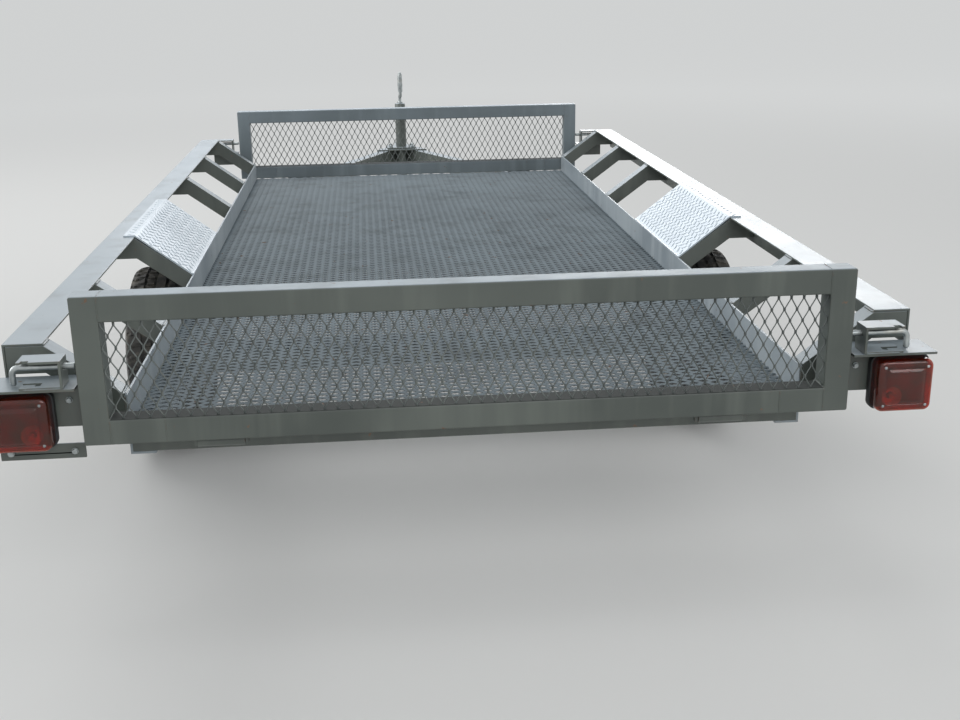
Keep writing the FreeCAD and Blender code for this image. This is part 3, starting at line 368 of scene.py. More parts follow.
def lathed(profile, steps, matrix=Matrix.Identity(4), closed=True):
    # profile points are (along the axis, radius); the axis is local Z
    vertices, faces = [], []
    count = len(profile)
    for step in range(steps):
        turn = 2 * math.pi * step / steps
        vertices += [(r * math.cos(turn), r * math.sin(turn), z) for z, r in profile]
    for step in range(steps):
        here, there = step * count, (step + 1) % steps * count
        for i in range(count if closed else count - 1):
            k = (i + 1) % count
            faces.append((here + i, there + i, there + k, here + k))
    if not closed:
        faces.append(tuple(reversed([step * count for step in range(steps)])))
        faces.append(tuple(step * count + count - 1 for step in range(steps)))
    return movedForm((vertices, faces), matrix)


def tube(points, radius, sides=12, radii=None):
    # a round bar through these points, with its section carried along without twist
    points = [Vector(p) for p in points]
    vertices, faces = [], []
    last = len(points) - 1
    ahead = [(points[min(i + 1, last)] - points[max(i - 1, 0)]).normalized() for i in range(len(points))]
    across = ahead[0].orthogonal().normalized()
    for i, point in enumerate(points):
        across = (across - ahead[i] * across.dot(ahead[i])).normalized()
        up = ahead[i].cross(across)
        r = radii[i] if radii else radius
        vertices += [point + (across * math.cos(a) + up * math.sin(a)) * r
                     for a in (2 * math.pi * s / sides for s in range(sides))]
    for i in range(last):
        for s in range(sides):
            k = (s + 1) % sides
            faces.append((i * sides + s, i * sides + k, (i + 1) * sides + k, (i + 1) * sides + s))
    faces.append(tuple(reversed(range(sides))))
    faces.append(tuple(last * sides + s for s in range(sides)))
    return vertices, faces


def bentLine(points, radius, steps=6):
    # a bent bar's middle line: each corner becomes an arc of this radius
    points = [Vector(p) for p in points]
    line = [points[0]]
    for before, corner, after in zip(points, points[1:], points[2:]):
        a, b = (before - corner).normalized(), (after - corner).normalized()
        reach = radius / math.tan(a.angle(b) / 2)
        start, end = corner + a * reach, corner + b * reach
        for i in range(steps + 1):
            t = i / steps
            line.append(start * (1 - t) ** 2 + corner * 2 * t * (1 - t) + end * t ** 2)
    return line + [points[-1]]


def bentBar(points, bend, radius, sides=14, chamfer=0.3, tip=0.75):
    # a bent round bar with chamfered ends; chamfer and tip are shares of the bar's radius
    line = bentLine(points, bend)
    inner = [end.lerp(beside, min(0.5, radius * chamfer / (beside - end).length))
             for end, beside in ((line[0], line[1]), (line[-1], line[-2]))]
    line = [line[0], inner[0]] + line[1:-1] + [inner[1], line[-1]]
    radii = [radius * tip] + [radius] * (len(line) - 2) + [radius * tip]
    return tube(line, radius, sides, radii)


def block(low, high):
    (x0, y0, z0), (x1, y1, z1) = low, high
    vertices = [(x, y, z) for x in (x0, x1) for y in (y0, y1) for z in (z0, z1)]
    return vertices, [(0, 1, 3, 2), (4, 6, 7, 5), (0, 4, 5, 1), (2, 3, 7, 6), (0, 2, 6, 4), (1, 5, 7, 3)]


def roundedLoop(middle, halfWide, halfTall, corner, y, steps=6):
    # a rounded rectangle in the XZ plane, counter-clockwise as seen from behind the trailer
    x, z = middle
    loop = []
    for number, (signX, signZ) in enumerate(((1, 1), (-1, 1), (-1, -1), (1, -1))):
        for step in range(steps + 1):
            turn = math.pi / 2 * (number + step / steps)
            loop.append((x + signX * (halfWide - corner) + corner * math.cos(turn), y,
                         z + signZ * (halfTall - corner) + corner * math.sin(turn)))
    return loop


def lofted(loops, closeStart=True, closeEnd=True):
    # loops of as many points each, joined one to the next, counter-clockwise as seen from the last one's side
    count = len(loops[0])
    vertices = [point for loop in loops for point in loop]
    faces = []
    for a in range(len(loops) - 1):
        for i in range(count):
            k = (i + 1) % count
            faces.append((a * count + i, a * count + k, (a + 1) * count + k, (a + 1) * count + i))
    if closeStart:
        faces.append(tuple(reversed(range(count))))
    if closeEnd:
        faces.append(tuple((len(loops) - 1) * count + i for i in range(count)))
    return vertices, faces


def frameAt(point, axis):
    # a matrix whose Z axis lies along axis, at this point
    return Matrix.Translation(point) @ Vector(axis).to_track_quat("Z", "Y").to_matrix().to_4x4()


# shares of a nut's width, its height, its washer's width and its bolt's end
hexSpec = {"faceWidth": 0.93, "shoulder": 0.82, "washerThick": 0.16, "washerBack": 0.9,
           "studShoulder": 0.8, "studTip": 0.75}


def hexHead(point, axis, flats, height, stud=0.0, studRadius=0.0, washer=0.0, turn=0.0):
    # a nut or bolt head with chamfered corners, on its washer, and the end of its bolt
    reach = flats / math.sqrt(3)
    base = washer * hexSpec["washerThick"]
    top = base + height
    forms = []
    if washer:
        forms.append(lathed([(0, washer / 2 * hexSpec["washerBack"]), (base, washer / 2)], 20, closed=False))
    angles = [turn + math.pi / 3 * i for i in range(6)]
    shoulder, face = base + height * hexSpec["shoulder"], flats / 2 * hexSpec["faceWidth"]
    forms.append(lofted([[(wide * math.cos(a), wide * math.sin(a), z) for a in angles]
                         for z, wide in ((base, reach), (shoulder, reach), (top, face))]))
    if stud:
        profile = [(top / 2, studRadius), (top + stud * hexSpec["studShoulder"], studRadius),
                   (top + stud, studRadius * hexSpec["studTip"])]
        forms.append(lathed(profile, 14, closed=False))
    return movedForm(joined(forms), frameAt(point, axis))


def weldBead(start, end, radius, ripple=4.5 * mm, swell=0.13, tip=0.55):
    # a run of weld metal: a half-sunk round bar that swells at each ripple and thins at both ends
    start, end = Vector(start), Vector(end)
    count = max(4, int((end - start).length / ripple * 2))
    points = [start.lerp(end, i / count) for i in range(count + 1)]
    radii = [radius * (tip if i in (0, count) else 1.0 + swell * (-1) ** i) for i in range(count + 1)]
    return tube(points, radius, 6, radii)


# expanded metal: zigzag strands, tilted like louvres by some degrees and joined edge to edge along each bond
gateMetal = {"shortWay": 25.1 * mm, "longWay": 46.2 * mm, "strand": 2.6 * mm, "gauge": 1.6 * mm,
             "tilt": 38, "bond": 6 * mm}
floorMetal = {"shortWay": 23.4 * mm, "longWay": 46.2 * mm, "strand": 4.5 * mm, "gauge": 2.1 * mm,
              "tilt": 38, "bond": 0, "height": 7.3 * mm}


def cutZigzag(corners, span):
    # corners are (place along the strand, side from -1 to 1); the line is cut at both ends of the sheet
    points = []
    for (a, sideA), (b, sideB) in zip(corners, corners[1:]):
        start, stop = max(a, 0.0), min(b, span)
        if stop <= start:
            continue
        for place in ((start, stop) if not points else (stop,)):
            points.append((place, sideA + (sideB - sideA) * (place - a) / (b - a)))
    return points


def expandedMetal(low, high, along, across, spec):
    # strands run from low to high along one axis and are spaced along the other
    normal = 3 - along - across
    tilt = math.radians(spec["tilt"])
    pitch, half, bond = spec["shortWay"] / 2, spec["longWay"] / 2, spec["bond"] / 2
    wide, thick = spec["strand"] / 2, spec["gauge"] / 2
    swing = pitch / 2 - wide * math.cos(tilt)
    lift = wide * math.sin(tilt)
    span = high[along] - low[along]
    count = round((high[across] - low[across]) / pitch)
    step = (high[across] - low[across]) / count
    widthWay, gaugeWay = np.zeros(3), np.zeros(3)
    widthWay[across], widthWay[normal] = math.cos(tilt) * wide, math.sin(tilt) * wide
    gaugeWay[across], gaugeWay[normal] = -math.sin(tilt) * thick, math.cos(tilt) * thick
    section = [widthWay + gaugeWay, -widthWay + gaugeWay, -widthWay - gaugeWay, widthWay - gaugeWay]
    forms = []
    for strand in range(count):
        corners = []
        for k in range(int(span / half) + 2):
            side = 1 if (k + strand) % 2 else -1
            corners += [(k * half + offset, side) for offset in ((-bond, bond) if bond else (0,))]
        loops = []
        for place, side in cutZigzag(corners, span):
            point = np.zeros(3)
            point[along] = low[along] + place
            point[across] = low[across] + (strand + 0.5) * step + side * swing
            point[normal] = (low[normal] + high[normal]) / 2 + side * lift
            loops.append([point + corner for corner in section])
        forms.append(lofted(loops))
    return joined(forms)


for end in ("rear", "front"):
    low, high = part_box(f"{end}_gate_mesh")
    form = expandedMetal(low, high, 2, 0, gateMetal)
    placePiece(f"{end}GateExpandedMetal", form, f"{end}_gate", "mesh_paint", replaces=[f"{end}_gate_mesh"])
low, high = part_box("floor_mesh")
high.z = low.z + floorMetal["height"]
placePiece("floorExpandedMetal", expandedMetal(low, high, 0, 1, floorMetal), "chassis", "mesh_paint",
           finish=floorEnamel, replaces=["floor_mesh"])
print("expanded metal made")

# plates over the wheels: rolled tread plate, folded onto both rails; its raised lugs lie crosswise by turns
plateSpec = {
    "thick": 4 * mm, "lip": 5 * mm, "lap": 30 * mm, "mitre": 1.4 * mm, "edge": 9 * mm,
    "pitchAcross": 30.5 * mm, "pitchAlong": 32 * mm,
    "lugLength": 23 * mm, "lugWidth": 6.5 * mm, "lugSides": 12,
    # a lug's height above the sheet in millimetres, and its width there as a share
    "lugRings": [(-0.5, 1.0), (0.4, 1.0), (1.2, 0.8), (1.6, 0.45)]}


def foldedSheet(section, thick, y0, y1):
    # section: the corners of the sheet's top, from the bed outwards, as (x, z)
    points = [Vector((x, z)) for x, z in section]
    ways = [(b - a).normalized() for a, b in zip(points, points[1:])]
    normals = [Vector((-way.y, way.x)) for way in ways]
    under = []
    for i, point in enumerate(points):
        before, after = normals[max(i - 1, 0)], normals[min(i, len(normals) - 1)]
        under.append(point - (before + after) * thick / (1 + before.dot(after)))
    loop = under + points[::-1]
    return lofted([[(p.x, y, p.y) for p in loop] for y in (y1, y0)])


def treadLug(spec, turn):
    long, wide = spec["lugLength"] / 2, spec["lugWidth"] / 2
    angles = [2 * math.pi * i / spec["lugSides"] for i in range(spec["lugSides"])]
    loops = []
    for height, share in spec["lugRings"]:
        ends = (1 + share) / 2
        loops.append([(long * ends * math.cos(a), wide * share * math.sin(a), height * mm) for a in angles])
    return movedForm(lofted(loops, closeStart=False), Matrix.Rotation(turn, 4, "Z"))


def treadLugs(section, y0, y1, spec):
    # rows of lugs on each face that is wide enough; neighbours lie crosswise and half a pitch apart
    forms = []
    turned = [treadLug(spec, turn) for turn in (math.pi / 4, -math.pi / 4)]
    rows = int((y1 - y0 - 2 * spec["edge"]) / spec["pitchAlong"] * 2)
    for (xa, za), (xb, zb) in zip(section, section[1:]):
        wide = math.dist((xa, za), (xb, zb))
        columns = int((wide - 2 * spec["edge"]) / spec["pitchAcross"] * 2) + 1
        if wide < 2 * spec["edge"]:
            continue
        way = Vector((xb - xa, 0, zb - za)) / wide
        face = Matrix((way, (0, 1, 0), way.cross(Vector((0, 1, 0))))).transposed().to_4x4()
        margin = (wide - (columns - 1) * spec["pitchAcross"] / 2) / 2
        for column in range(columns):
            for row in range(column % 2, rows + 1, 2):
                out = margin + column * spec["pitchAcross"] / 2
                middle = (y0 + y1) / 2 + (row - rows / 2) * spec["pitchAlong"] / 2
                face.translation = (xa + way.x * out, middle, za + way.z * out)
                forms.append(movedForm(turned[column % 2], face))
    return forms


for side, sign in (("left", -1), ("right", 1)):
    low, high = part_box(f"wheel_plate_{side}")
    railLow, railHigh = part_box(f"outer_rail_{side}")
    sideLow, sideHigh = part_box(f"side_rail_{side}")
    bedFace = max(abs(sideLow.x), abs(sideHigh.x))
    outerInner = min(abs(railLow.x), abs(railHigh.x))
    mitre, top = plateSpec["mitre"], sideHigh.z + plateSpec["thick"]
    section = [(bedFace - plateSpec["lip"], top), (bedFace - mitre, top),
               (outerInner - mitre, high.z), (outerInner + plateSpec["lap"], high.z)]
    form = joined([foldedSheet(section, plateSpec["thick"], low.y, high.y),
                   *treadLugs(section, low.y, high.y, plateSpec)])
    if sign < 0:
        form = mirroredX(form)
    placePiece(f"{side}TreadPlate", form, "chassis", "plate_steel", replaces=[f"wheel_plate_{side}"])
print("tread plates made")

# wheels: bias tyre with ribs of blocks, disc wheel with round vents, hub with its cap and nuts
tyreSpec = {
    "blocks": 48, "rib": 20.5 * mm, "grooveShares": (0.0, 0.04, 0.74, 0.78), "grooveDepth": 6 * mm,
    # cuts across the ribs: where they lie from the middle plane out, and their share of the groove's depth
    "cutFrom": 20 * mm, "cutTo": 89 * mm, "cutShare": 0.75,
    # the outermost ones run down over the shoulder, this far below its radius
    "shoulderFrom": 66 * mm, "shoulder": 254.5 * mm, "shoulderDrop": 8 * mm, "shoulderShare": 0.9,
    # half a section, millimetres: out from the tyre's middle plane, and radius
    "crown": [(0, 260), (12, 259.9), (14, 254), (19, 254), (21, 259.8), (40, 259.2), (42, 253.5),
              (47, 253.5), (49, 258.6), (68, 256.6), (77, 254)],
    "wall": [(85, 249), (88, 247.5), (90.5, 242), (95, 230), (99, 217), (101.5, 205), (102.2, 199),
             (102.3, 195.5), (101.6, 193), (101.9, 186), (100.8, 176), (98.4, 166), (95.2, 157), (95.8, 155),
             (94, 152), (88.5, 146.5), (83.5, 143), (79.5, 140.5), (77.2, 137), (75.5, 129), (70, 126.2)]}
wheelSpec = {
    "steps": 96, "gauge": 3.5 * mm,
    # the vents: how many, how large, on which circle, and how far the cutter reaches behind and ahead
    "vents": 8, "ventRadius": 8 * mm, "ventCircle": 89.5 * mm, "ventReach": (-30 * mm, 60 * mm),
    # inside the lips the rim is drawn in by this share
    "lipFrom": 70 * mm, "lipShare": 0.985,
    # the rim's tyre side, then the disc's face: out from the middle plane, and radius, millimetres
    "rim": [(-83, 137), (-82.2, 141.2), (-79.8, 142.5), (-77.5, 140.5), (-76.5, 130), (-72, 127),
            (-54, 125.5), (-47, 124), (-39, 112), (-33, 108.5), (0, 108.5), (7, 111), (33, 124), (54, 125.5),
            (72, 127), (76.5, 130), (77.5, 140.5), (79.8, 142.5), (82.2, 141.2), (83, 137)],
    "disc": [(-15, 104.5), (-2, 104.6), (8, 103), (16, 98.5), (21.5, 92), (23.5, 86), (22.5, 80), (20, 75),
             (20, 44), (22.5, 42), (23, 40)]}
hubSpec = {
    "nutCount": 5, "nutCircle": 114.3 / 2 * mm, "nutFace": 20.3 * mm, "nutFlats": 20.5 * mm,
    "nutHeight": 18 * mm, "studReach": 5 * mm, "studRadius": 6.2 * mm,
    "profile": [(-50, 22), (-50, 32), (-30, 36), (-8, 37), (3.5, 70), (4, 74), (15.5, 74.5), (16, 52),
                (20, 39.8), (30, 39), (33, 33), (33.5, 32.2), (50, 31.8), (56, 30), (59.2, 25.5), (60, 18),
                (60, 2)]}


def tyreForm(spec):
    half = scaled(spec["crown"] + spec["wall"])
    profile = [(-x, r) for x, r in reversed(half[1:])] + half
    steps = [(block + share) / spec["blocks"]
             for block in range(spec["blocks"]) for share in spec["grooveShares"]]
    vertices, faces = [], []
    for number, turn in enumerate(steps):
        angle = 2 * math.pi * turn
        for x, r in profile:
            # neighbouring ribs are staggered by half a block
            rib = int(abs(x) / spec["rib"])
            shifted = (number + 2 * rib + (0 if x >= 0 else 1)) % 4
            outermost = abs(x) > spec["shoulderFrom"]
            lowest = spec["shoulder"] - (spec["shoulderDrop"] if outermost else 0)
            share = spec["shoulderShare"] if outermost else spec["cutShare"]
            isCut = shifted in (0, 3) and spec["cutFrom"] < abs(x) < spec["cutTo"] and r > lowest
            radius = r - (spec["grooveDepth"] * share if isCut else 0)
            vertices.append((radius * math.cos(angle), radius * math.sin(angle), x))
    count, total = len(profile), len(steps)
    for i in range(total):
        here, there = i * count, (i + 1) % total * count
        for k in range(count):
            m = (k + 1) % count
            faces.append((here + k, there + k, there + m, here + m))
    return vertices, faces


def discWheel(spec):
    outer, face = scaled(spec["rim"]), scaled(spec["disc"])
    inner = []
    for z, r in reversed(outer):
        inner.append((z * spec["lipShare"] if abs(z) > spec["lipFrom"] else z, r - spec["gauge"]))
    back = [(z - spec["gauge"], r) for z, r in reversed(face)]
    cutters = []
    for i in range(spec["vents"]):
        turn = 2 * math.pi * (i + 0.5) / spec["vents"]
        at = Vector((spec["ventCircle"] * math.cos(turn), spec["ventCircle"] * math.sin(turn), 0))
        profile = [(z, spec["ventRadius"]) for z in spec["ventReach"]]
        cutters.append(lathed(profile, 28, Matrix.Translation(at), closed=False))
    disc = cutMesh(lathed(face + back, spec["steps"]), joined(cutters))
    return joined([lathed(outer + inner, spec["steps"]), disc])


def cutMesh(form, cutter):
    # the form less the cutter, by an exact boolean worked out at once
    targets = []
    for name, shape in (("cutTarget", form), ("cutTool", cutter)):
        mesh = bpy.data.meshes.new(name)
        mesh.from_pydata([tuple(p) for p in shape[0]], [], shape[1])
        thing = bpy.data.objects.new(name, mesh)
        bpy.context.scene.collection.objects.link(thing)
        targets.append(thing)
    boolean = targets[0].modifiers.new("cut", "BOOLEAN")
    boolean.object, boolean.operation, boolean.solver = targets[1], "DIFFERENCE", "EXACT"
    result = targets[0].evaluated_get(bpy.context.evaluated_depsgraph_get()).to_mesh()
    shape = [v.co.copy() for v in result.vertices], [tuple(p.vertices) for p in result.polygons]
    for thing in targets:
        bpy.data.objects.remove(thing)
    return shape


def wheelNuts(spec):
    forms = []
    for i in range(spec["nutCount"]):
        turn = math.pi / 2 + 2 * math.pi * i / spec["nutCount"]
        at = (spec["nutCircle"] * math.cos(turn), spec["nutCircle"] * math.sin(turn), spec["nutFace"])
        forms.append(hexHead(at, (0, 0, 1), spec["nutFlats"], spec["nutHeight"],
                             stud=spec["studReach"], studRadius=spec["studRadius"]))
    return joined(forms)


hubForm = lathed(scaled(hubSpec["profile"]), 48, closed=False)
wheelForms = (("Tyre", "tyre", "tyre", tyreForm(tyreSpec)),
              ("DiscWheel", "wheel_rim", "wheel_paint", discWheel(wheelSpec)),
              ("Hub", "hub", "hub_iron", hubForm),
              ("WheelNuts", "wheel_nuts", "plated_steel", wheelNuts(hubSpec)))
for side, sign in (("left", -1), ("right", 1)):
    low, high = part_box(f"tyre_{side}")
    place = Matrix.Translation((low + high) / 2) @ Matrix.Rotation(math.pi / 2 * sign, 4, "Y")
    for name, node, slotName, form in wheelForms:
        placePiece(side + name, movedForm(form, place), f"wheel_{side}", slotName,
                   replaces=[f"{node}_{side}"])
print("wheels made")

# axle and what ties it to the springs
axleSpec = {
    "radius": 25 * mm, "spindle": 15.8 * mm, "chamfer": 1 * mm,
    "tubeEnd": 730.5 * mm, "spindleEnd": 812.5 * mm,
    # collar and seal land, millimetres: out from the tube's end, and radius
    "shoulder": [(-12, 25), (-11, 27), (-2, 27), (0, 23), (9, 19), (11, 15.8)]}
# U-bolts around the axle, through a plate on top of the spring
tieSpec = {"rod": 5.5 * mm, "bend": 0.9, "stickUp": 16 * mm, "plate": (40 * mm, 44 * mm, 8 * mm),
           "plateEdge": 1.5 * mm, "springTop": 59 * mm, "nutFlats": 17 * mm, "nutHeight": 9 * mm,
           "washer": 22 * mm}
# bands that hold the leaves together; they slope with the leaves, in radians
clipSpec = {"reach": 165 * mm, "slope": 0.136, "wide": 22 * mm, "gauge": 3 * mm, "height": 26 * mm,
            "level": 60 * mm, "edge": 0.6 * mm}
low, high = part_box("axle")
axleMiddle = (low + high) / 2
tip, chamfer = axleSpec["spindleEnd"], axleSpec["chamfer"]
halfAxle = [(axleSpec["tubeEnd"] + z, r) for z, r in scaled(axleSpec["shoulder"])]
halfAxle += [(tip - chamfer, axleSpec["spindle"]), (tip, axleSpec["spindle"] - chamfer)]
wholeAxle = [(-z, r) for z, r in reversed(halfAxle)] + halfAxle
placePiece("axleTube", lathed(wholeAxle, 40, frameAt(axleMiddle, (1, 0, 0)), closed=False), "chassis",
           "frame_paint", replaces=["axle"])
tiePlates, uBolts, clips = [], [], []
for side in ("left", "right"):
    low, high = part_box(f"leaf_spring_{side}")
    x, half = (low.x + high.x) / 2, (high.x - low.x) / 2
    reach, top = axleSpec["radius"] + tieSpec["rod"], axleMiddle.z + tieSpec["springTop"]
    rear, front = axleMiddle.y - reach, axleMiddle.y + reach
    wide, long, thick = tieSpec["plate"]
    tiePlates.append(block((x - wide, axleMiddle.y - long, top),
                           (x + wide, axleMiddle.y + long, top + thick)))
    for across in (-1, 1):
        legX = x + across * (half + tieSpec["rod"])
        ends = [Vector((legX, y, top + thick + tieSpec["stickUp"])) for y in (rear, front)]
        corners = [Vector((legX, y, axleMiddle.z - reach)) for y in (rear, front)]
        uBolts.append(bentBar([ends[0], *corners, ends[1]], reach * tieSpec["bend"], tieSpec["rod"]))
        for y in (rear, front):
            uBolts.append(hexHead((legX, y, top + thick), (0, 0, 1), tieSpec["nutFlats"],
                                  tieSpec["nutHeight"], washer=tieSpec["washer"]))
    out, up = half + clipSpec["gauge"], clipSpec["height"] / 2
    gauge, deep = clipSpec["gauge"], clipSpec["wide"] / 2
    # a band's top, bottom, left and right, as corners in X and Z
    band = (((-out, up - gauge), (out, up)), ((-out, -up), (out, gauge - up)),
            ((-out, -up), (gauge - out, up)), ((out - gauge, -up), (out, up)))
    for way in (-1, 1):
        y, z = axleMiddle.y + way * clipSpec["reach"], axleMiddle.z + clipSpec["level"]
        at = Matrix.Translation((x, y, z)) @ Matrix.Rotation(way * clipSpec["slope"], 4, "X")
        clips += [movedForm(block((x0, -deep, z0), (x1, deep, z1)), at) for (x0, z0), (x1, z1) in band]
placePiece("springTiePlates", joined(tiePlates), "chassis", "frame_paint", tieSpec["plateEdge"])
placePiece("axleUBolts", joined(uBolts), "chassis", "plated_steel")
placePiece("springClips", joined(clips), "chassis", "frame_paint", clipSpec["edge"])
print("axle and springs dressed")

# gate hinges and latch rods
hingeSpec = {"radius": 10 * mm, "bore": 6.3 * mm, "length": 90 * mm, "chamfer": 0.8 * mm}
latchSpec = {"radius": 6 * mm, "bend": 15 * mm, "clear": 5 * mm}  # a drawn rod clears the gate's post
for end in ("rear", "front"):
    low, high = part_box(f"{end}_gate_barrels")
    middle = (low + high) / 2
    half, chamfer, radius = hingeSpec["length"] / 2, hingeSpec["chamfer"], hingeSpec["radius"]
    ring = [(-half, hingeSpec["bore"]), (-half, radius - chamfer), (chamfer - half, radius),
            (half - chamfer, radius), (half, radius - chamfer), (half, hingeSpec["bore"])]
    at = high.x - half
    forms = [lathed(ring, 32, frameAt((sign * at, middle.y, middle.z), (1, 0, 0))) for sign in (-1, 1)]
    placePiece(f"{end}HingeBarrels", joined(forms), f"{end}_gate", "frame_paint",
               replaces=[f"{end}_gate_barrels"])
    low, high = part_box(f"{end}_latch_rods")
    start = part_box(f"{end}_gate_frame")[1].x + latchSpec["clear"]
    y, radius = (low.y + high.y) / 2, latchSpec["radius"]
    level, outer = high.z - radius, high.x - radius
    rodLine = [(start, y, level), (outer, y, level), (outer, y, low.z)]
    rodForm = bentBar(rodLine, latchSpec["bend"], radius, 18)
    placePiece(f"{end}LatchRods", bothSides(rodForm), "chassis", "plated_steel",
               replaces=[f"{end}_latch_rods"])
print("hinges and latches made")

# tail lamps: moulded housing, domed lens with a stepped face, bowl and bulb behind it, four screws;
# the lists of pairs are in millimetres
lampSpec = {
    "corner": 14 * mm, "cornerShare": 0.5, "smallestCorner": 1 * mm, "fullestCorner": 0.9, "wall": 2.5 * mm,
    "screwInset": 14 * mm, "screwSunk": 3.6 * mm, "bulbIn": 16 * mm, "bulbDown": 28 * mm, "bulbSunk": 1 * mm,
    # the lens from its back to the crown of its face: how far drawn in, and how far short of the front
    "lens": [(0, 36), (0.8, 12), (1.6, 8), (3.2, 5.2), (5.8, 3.7), (9, 3.0), (15, 2.6), (15.8, 3.4),
             (17.5, 3.4), (18.3, 2.2), (30, 1.0), (44, 0.3), (52, 0)],
    # the housing's back and open edge: how far drawn in, and how far from that face
    "housingBack": [(1.5, 0), (0.3, 2)], "housingEdge": [(0, 1.5), (0.4, 0.4), (1.2, 0)],
    # along the axis, and radius
    "screw": [(-1.5, 3.2), (0.5, 3.2), (1.5, 2.56), (2.0, 1.28)],
    "bowl": [(0, 7), (1, 10.45), (4, 15.2), (9, 19), (9, 20), (0, 20)],
    "bulb": [(0, 3.5), (6, 3.85), (9, 5.95), (13, 7), (17, 5.95), (20, 2.8)]}
housings, screws, bowls = [], [], []
housingLow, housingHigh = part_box("lamp_housings")
rim = housingHigh.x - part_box("tail_lamp_right")[1].x
for side, sign in (("left", -1), ("right", 1)):
    low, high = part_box(f"tail_lamp_{side}")
    middle = ((low.x + high.x) / 2, (low.z + high.z) / 2)
    wide, tall = (high.x - low.x) / 2, (high.z - low.z) / 2
    loops = []
    for drawn, short in scaled(lampSpec["lens"]):
        share = 1 - drawn / tall
        corner = max(lampSpec["corner"] - drawn * lampSpec["cornerShare"], lampSpec["smallestCorner"])
        corner = min(corner, tall * share * lampSpec["fullestCorner"])
        loops.append(roundedLoop(middle, wide * share, tall * share, corner, low.y + short))
    piece = placePiece(f"{side}LampLens", lofted(loops, closeStart=False), "chassis", "lamp_lens",
                       sharpAngle=50, replaces=[f"tail_lamp_{side}"])
    shell = piece.modifiers.new("wall", "SOLIDIFY")
    shell.thickness, shell.offset = lampSpec["wall"], -1
    edges = [(rim - inset, housingHigh.y - back) for inset, back in scaled(lampSpec["housingBack"])]
    edges += [(rim - inset, housingLow.y + back) for inset, back in scaled(lampSpec["housingEdge"])]
    corner = lampSpec["corner"] + rim
    housings.append(lofted([roundedLoop(middle, wide + out, tall + out, corner, y) for out, y in edges]))
    screwX, screwZ = wide - lampSpec["screwInset"], tall - lampSpec["screwInset"]
    for signX, signZ in ((-1, -1), (-1, 1), (1, -1), (1, 1)):
        at = (middle[0] + signX * screwX, low.y + lampSpec["screwSunk"], middle[1] + signZ * screwZ)
        screws.append(lathed(scaled(lampSpec["screw"]), 20, frameAt(at, (0, -1, 0)), closed=False))
    bulbX, bulbZ = middle[0] - sign * lampSpec["bulbIn"], middle[1] - lampSpec["bulbDown"]
    at = frameAt((bulbX, high.y - lampSpec["bulbSunk"], bulbZ), (0, -1, 0))
    bowls.append(lathed(scaled(lampSpec["bowl"]), 28, at))
    bowls.append(lathed(scaled(lampSpec["bulb"]), 20, at, closed=False))
placePiece("lampHousings", joined(housings), "chassis", "black_plastic", replaces=["lamp_housings"])
placePiece("lampScrews", joined(screws), "chassis", "plated_steel")
placePiece("lampBowls", joined(bowls), "chassis", "plated_steel", finish=metallised)
print("tail lamps made")

# jack with its flange, leg and foot, and the crank with its grip; the lists of pairs are in millimetres
jackSpec = {
    "radius": 28 * mm, "bore": 22.4 * mm, "cap": 10 * mm, "tubeEdge": 0.8 * mm, "steps": 48,
    # the tube's outside: up from its bottom or down from its top, and how far drawn in
    "tubeBottom": [(0, 1), (1, 0), (12, 0)],
    "tubeTop": [(45, 0), (44, 1), (42, 1), (41, 0), (4, 0), (1.2, 1.5), (0, 5)],
    # half the flange's width and length, and its thickness; the tube's hole is cut this far past it
    "flange": (75 * mm, 55 * mm, 8 * mm), "flangeBolts": (58 * mm, 38 * mm),
    "flangeCut": (-20 * mm, 30 * mm),
    "leg": 22 * mm, "legChamfer": 1 * mm, "footThick": 6 * mm, "footEdge": 1 * mm,
    # up from the foot, and radius
    "collar": [(-1, 26), (3, 25), (7, 22.5), (7, 21), (-1, 21)],
    "crankRadius": 8 * mm, "crankBend": 20 * mm, "crankSunk": 2 * mm, "armRise": 45 * mm,
    # up from the tube's top, and radius
    "boss": [(-1, 14), (8, 14), (10, 12.5)],
    # the grip: up from the arm or down from the crank's top, and radius
    "gripBottom": [(24, 8.4), (24, 10.5), (25, 11.5), (60, 12.7)],
    "gripTop": [(8, 11.5), (7, 10.5), (7, 8.4)]}
low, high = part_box("jack_tube")
jackY, top, bottom = (low.y + high.y) / 2, high.z, low.z
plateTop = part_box("coupler")[1].z
radius, bore, steps = jackSpec["radius"], jackSpec["bore"], jackSpec["steps"]
atJack = Matrix.Translation((0, jackY, 0))
profile = [(top - jackSpec["cap"], bore), (bottom, bore)]
profile += [(bottom + up, radius - drawn) for up, drawn in scaled(jackSpec["tubeBottom"])]
profile += [(top - down, radius - drawn) for down, drawn in scaled(jackSpec["tubeTop"])]
tubeForm = lathed(profile, steps, atJack, closed=False)
wide, long, thick = jackSpec["flange"]
hole = lathed([(plateTop + reach, radius) for reach in jackSpec["flangeCut"]], steps, atJack, closed=False)
flangeForm = cutMesh(block((-wide, jackY - long, plateTop), (wide, jackY + long, plateTop + thick)), hole)
placePiece("jackTube", joined([tubeForm, flangeForm]), "chassis", "frame_paint", jackSpec["tubeEdge"],
           replaces=["jack_tube"])
low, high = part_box("jack_leg")
footTop, leg, chamfer = jackSpec["footThick"], jackSpec["leg"], jackSpec["legChamfer"]
profile = [(footTop, leg), (high.z - chamfer, leg), (high.z, leg - chamfer)]
legForm = lathed(profile, steps, atJack, closed=False)
collar = lathed([(footTop + z, r) for z, r in scaled(jackSpec["collar"])], 40, atJack)
foot = block((low.x, low.y, 0), (high.x, high.y, footTop))
placePiece("jackLeg", joined([legForm, collar, foot]), "jack_foot", "plated_steel", jackSpec["footEdge"],
           replaces=["jack_leg"])
low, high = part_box("jack_crank")
throw, arm = low.y + jackSpec["crankRadius"], top + jackSpec["armRise"]
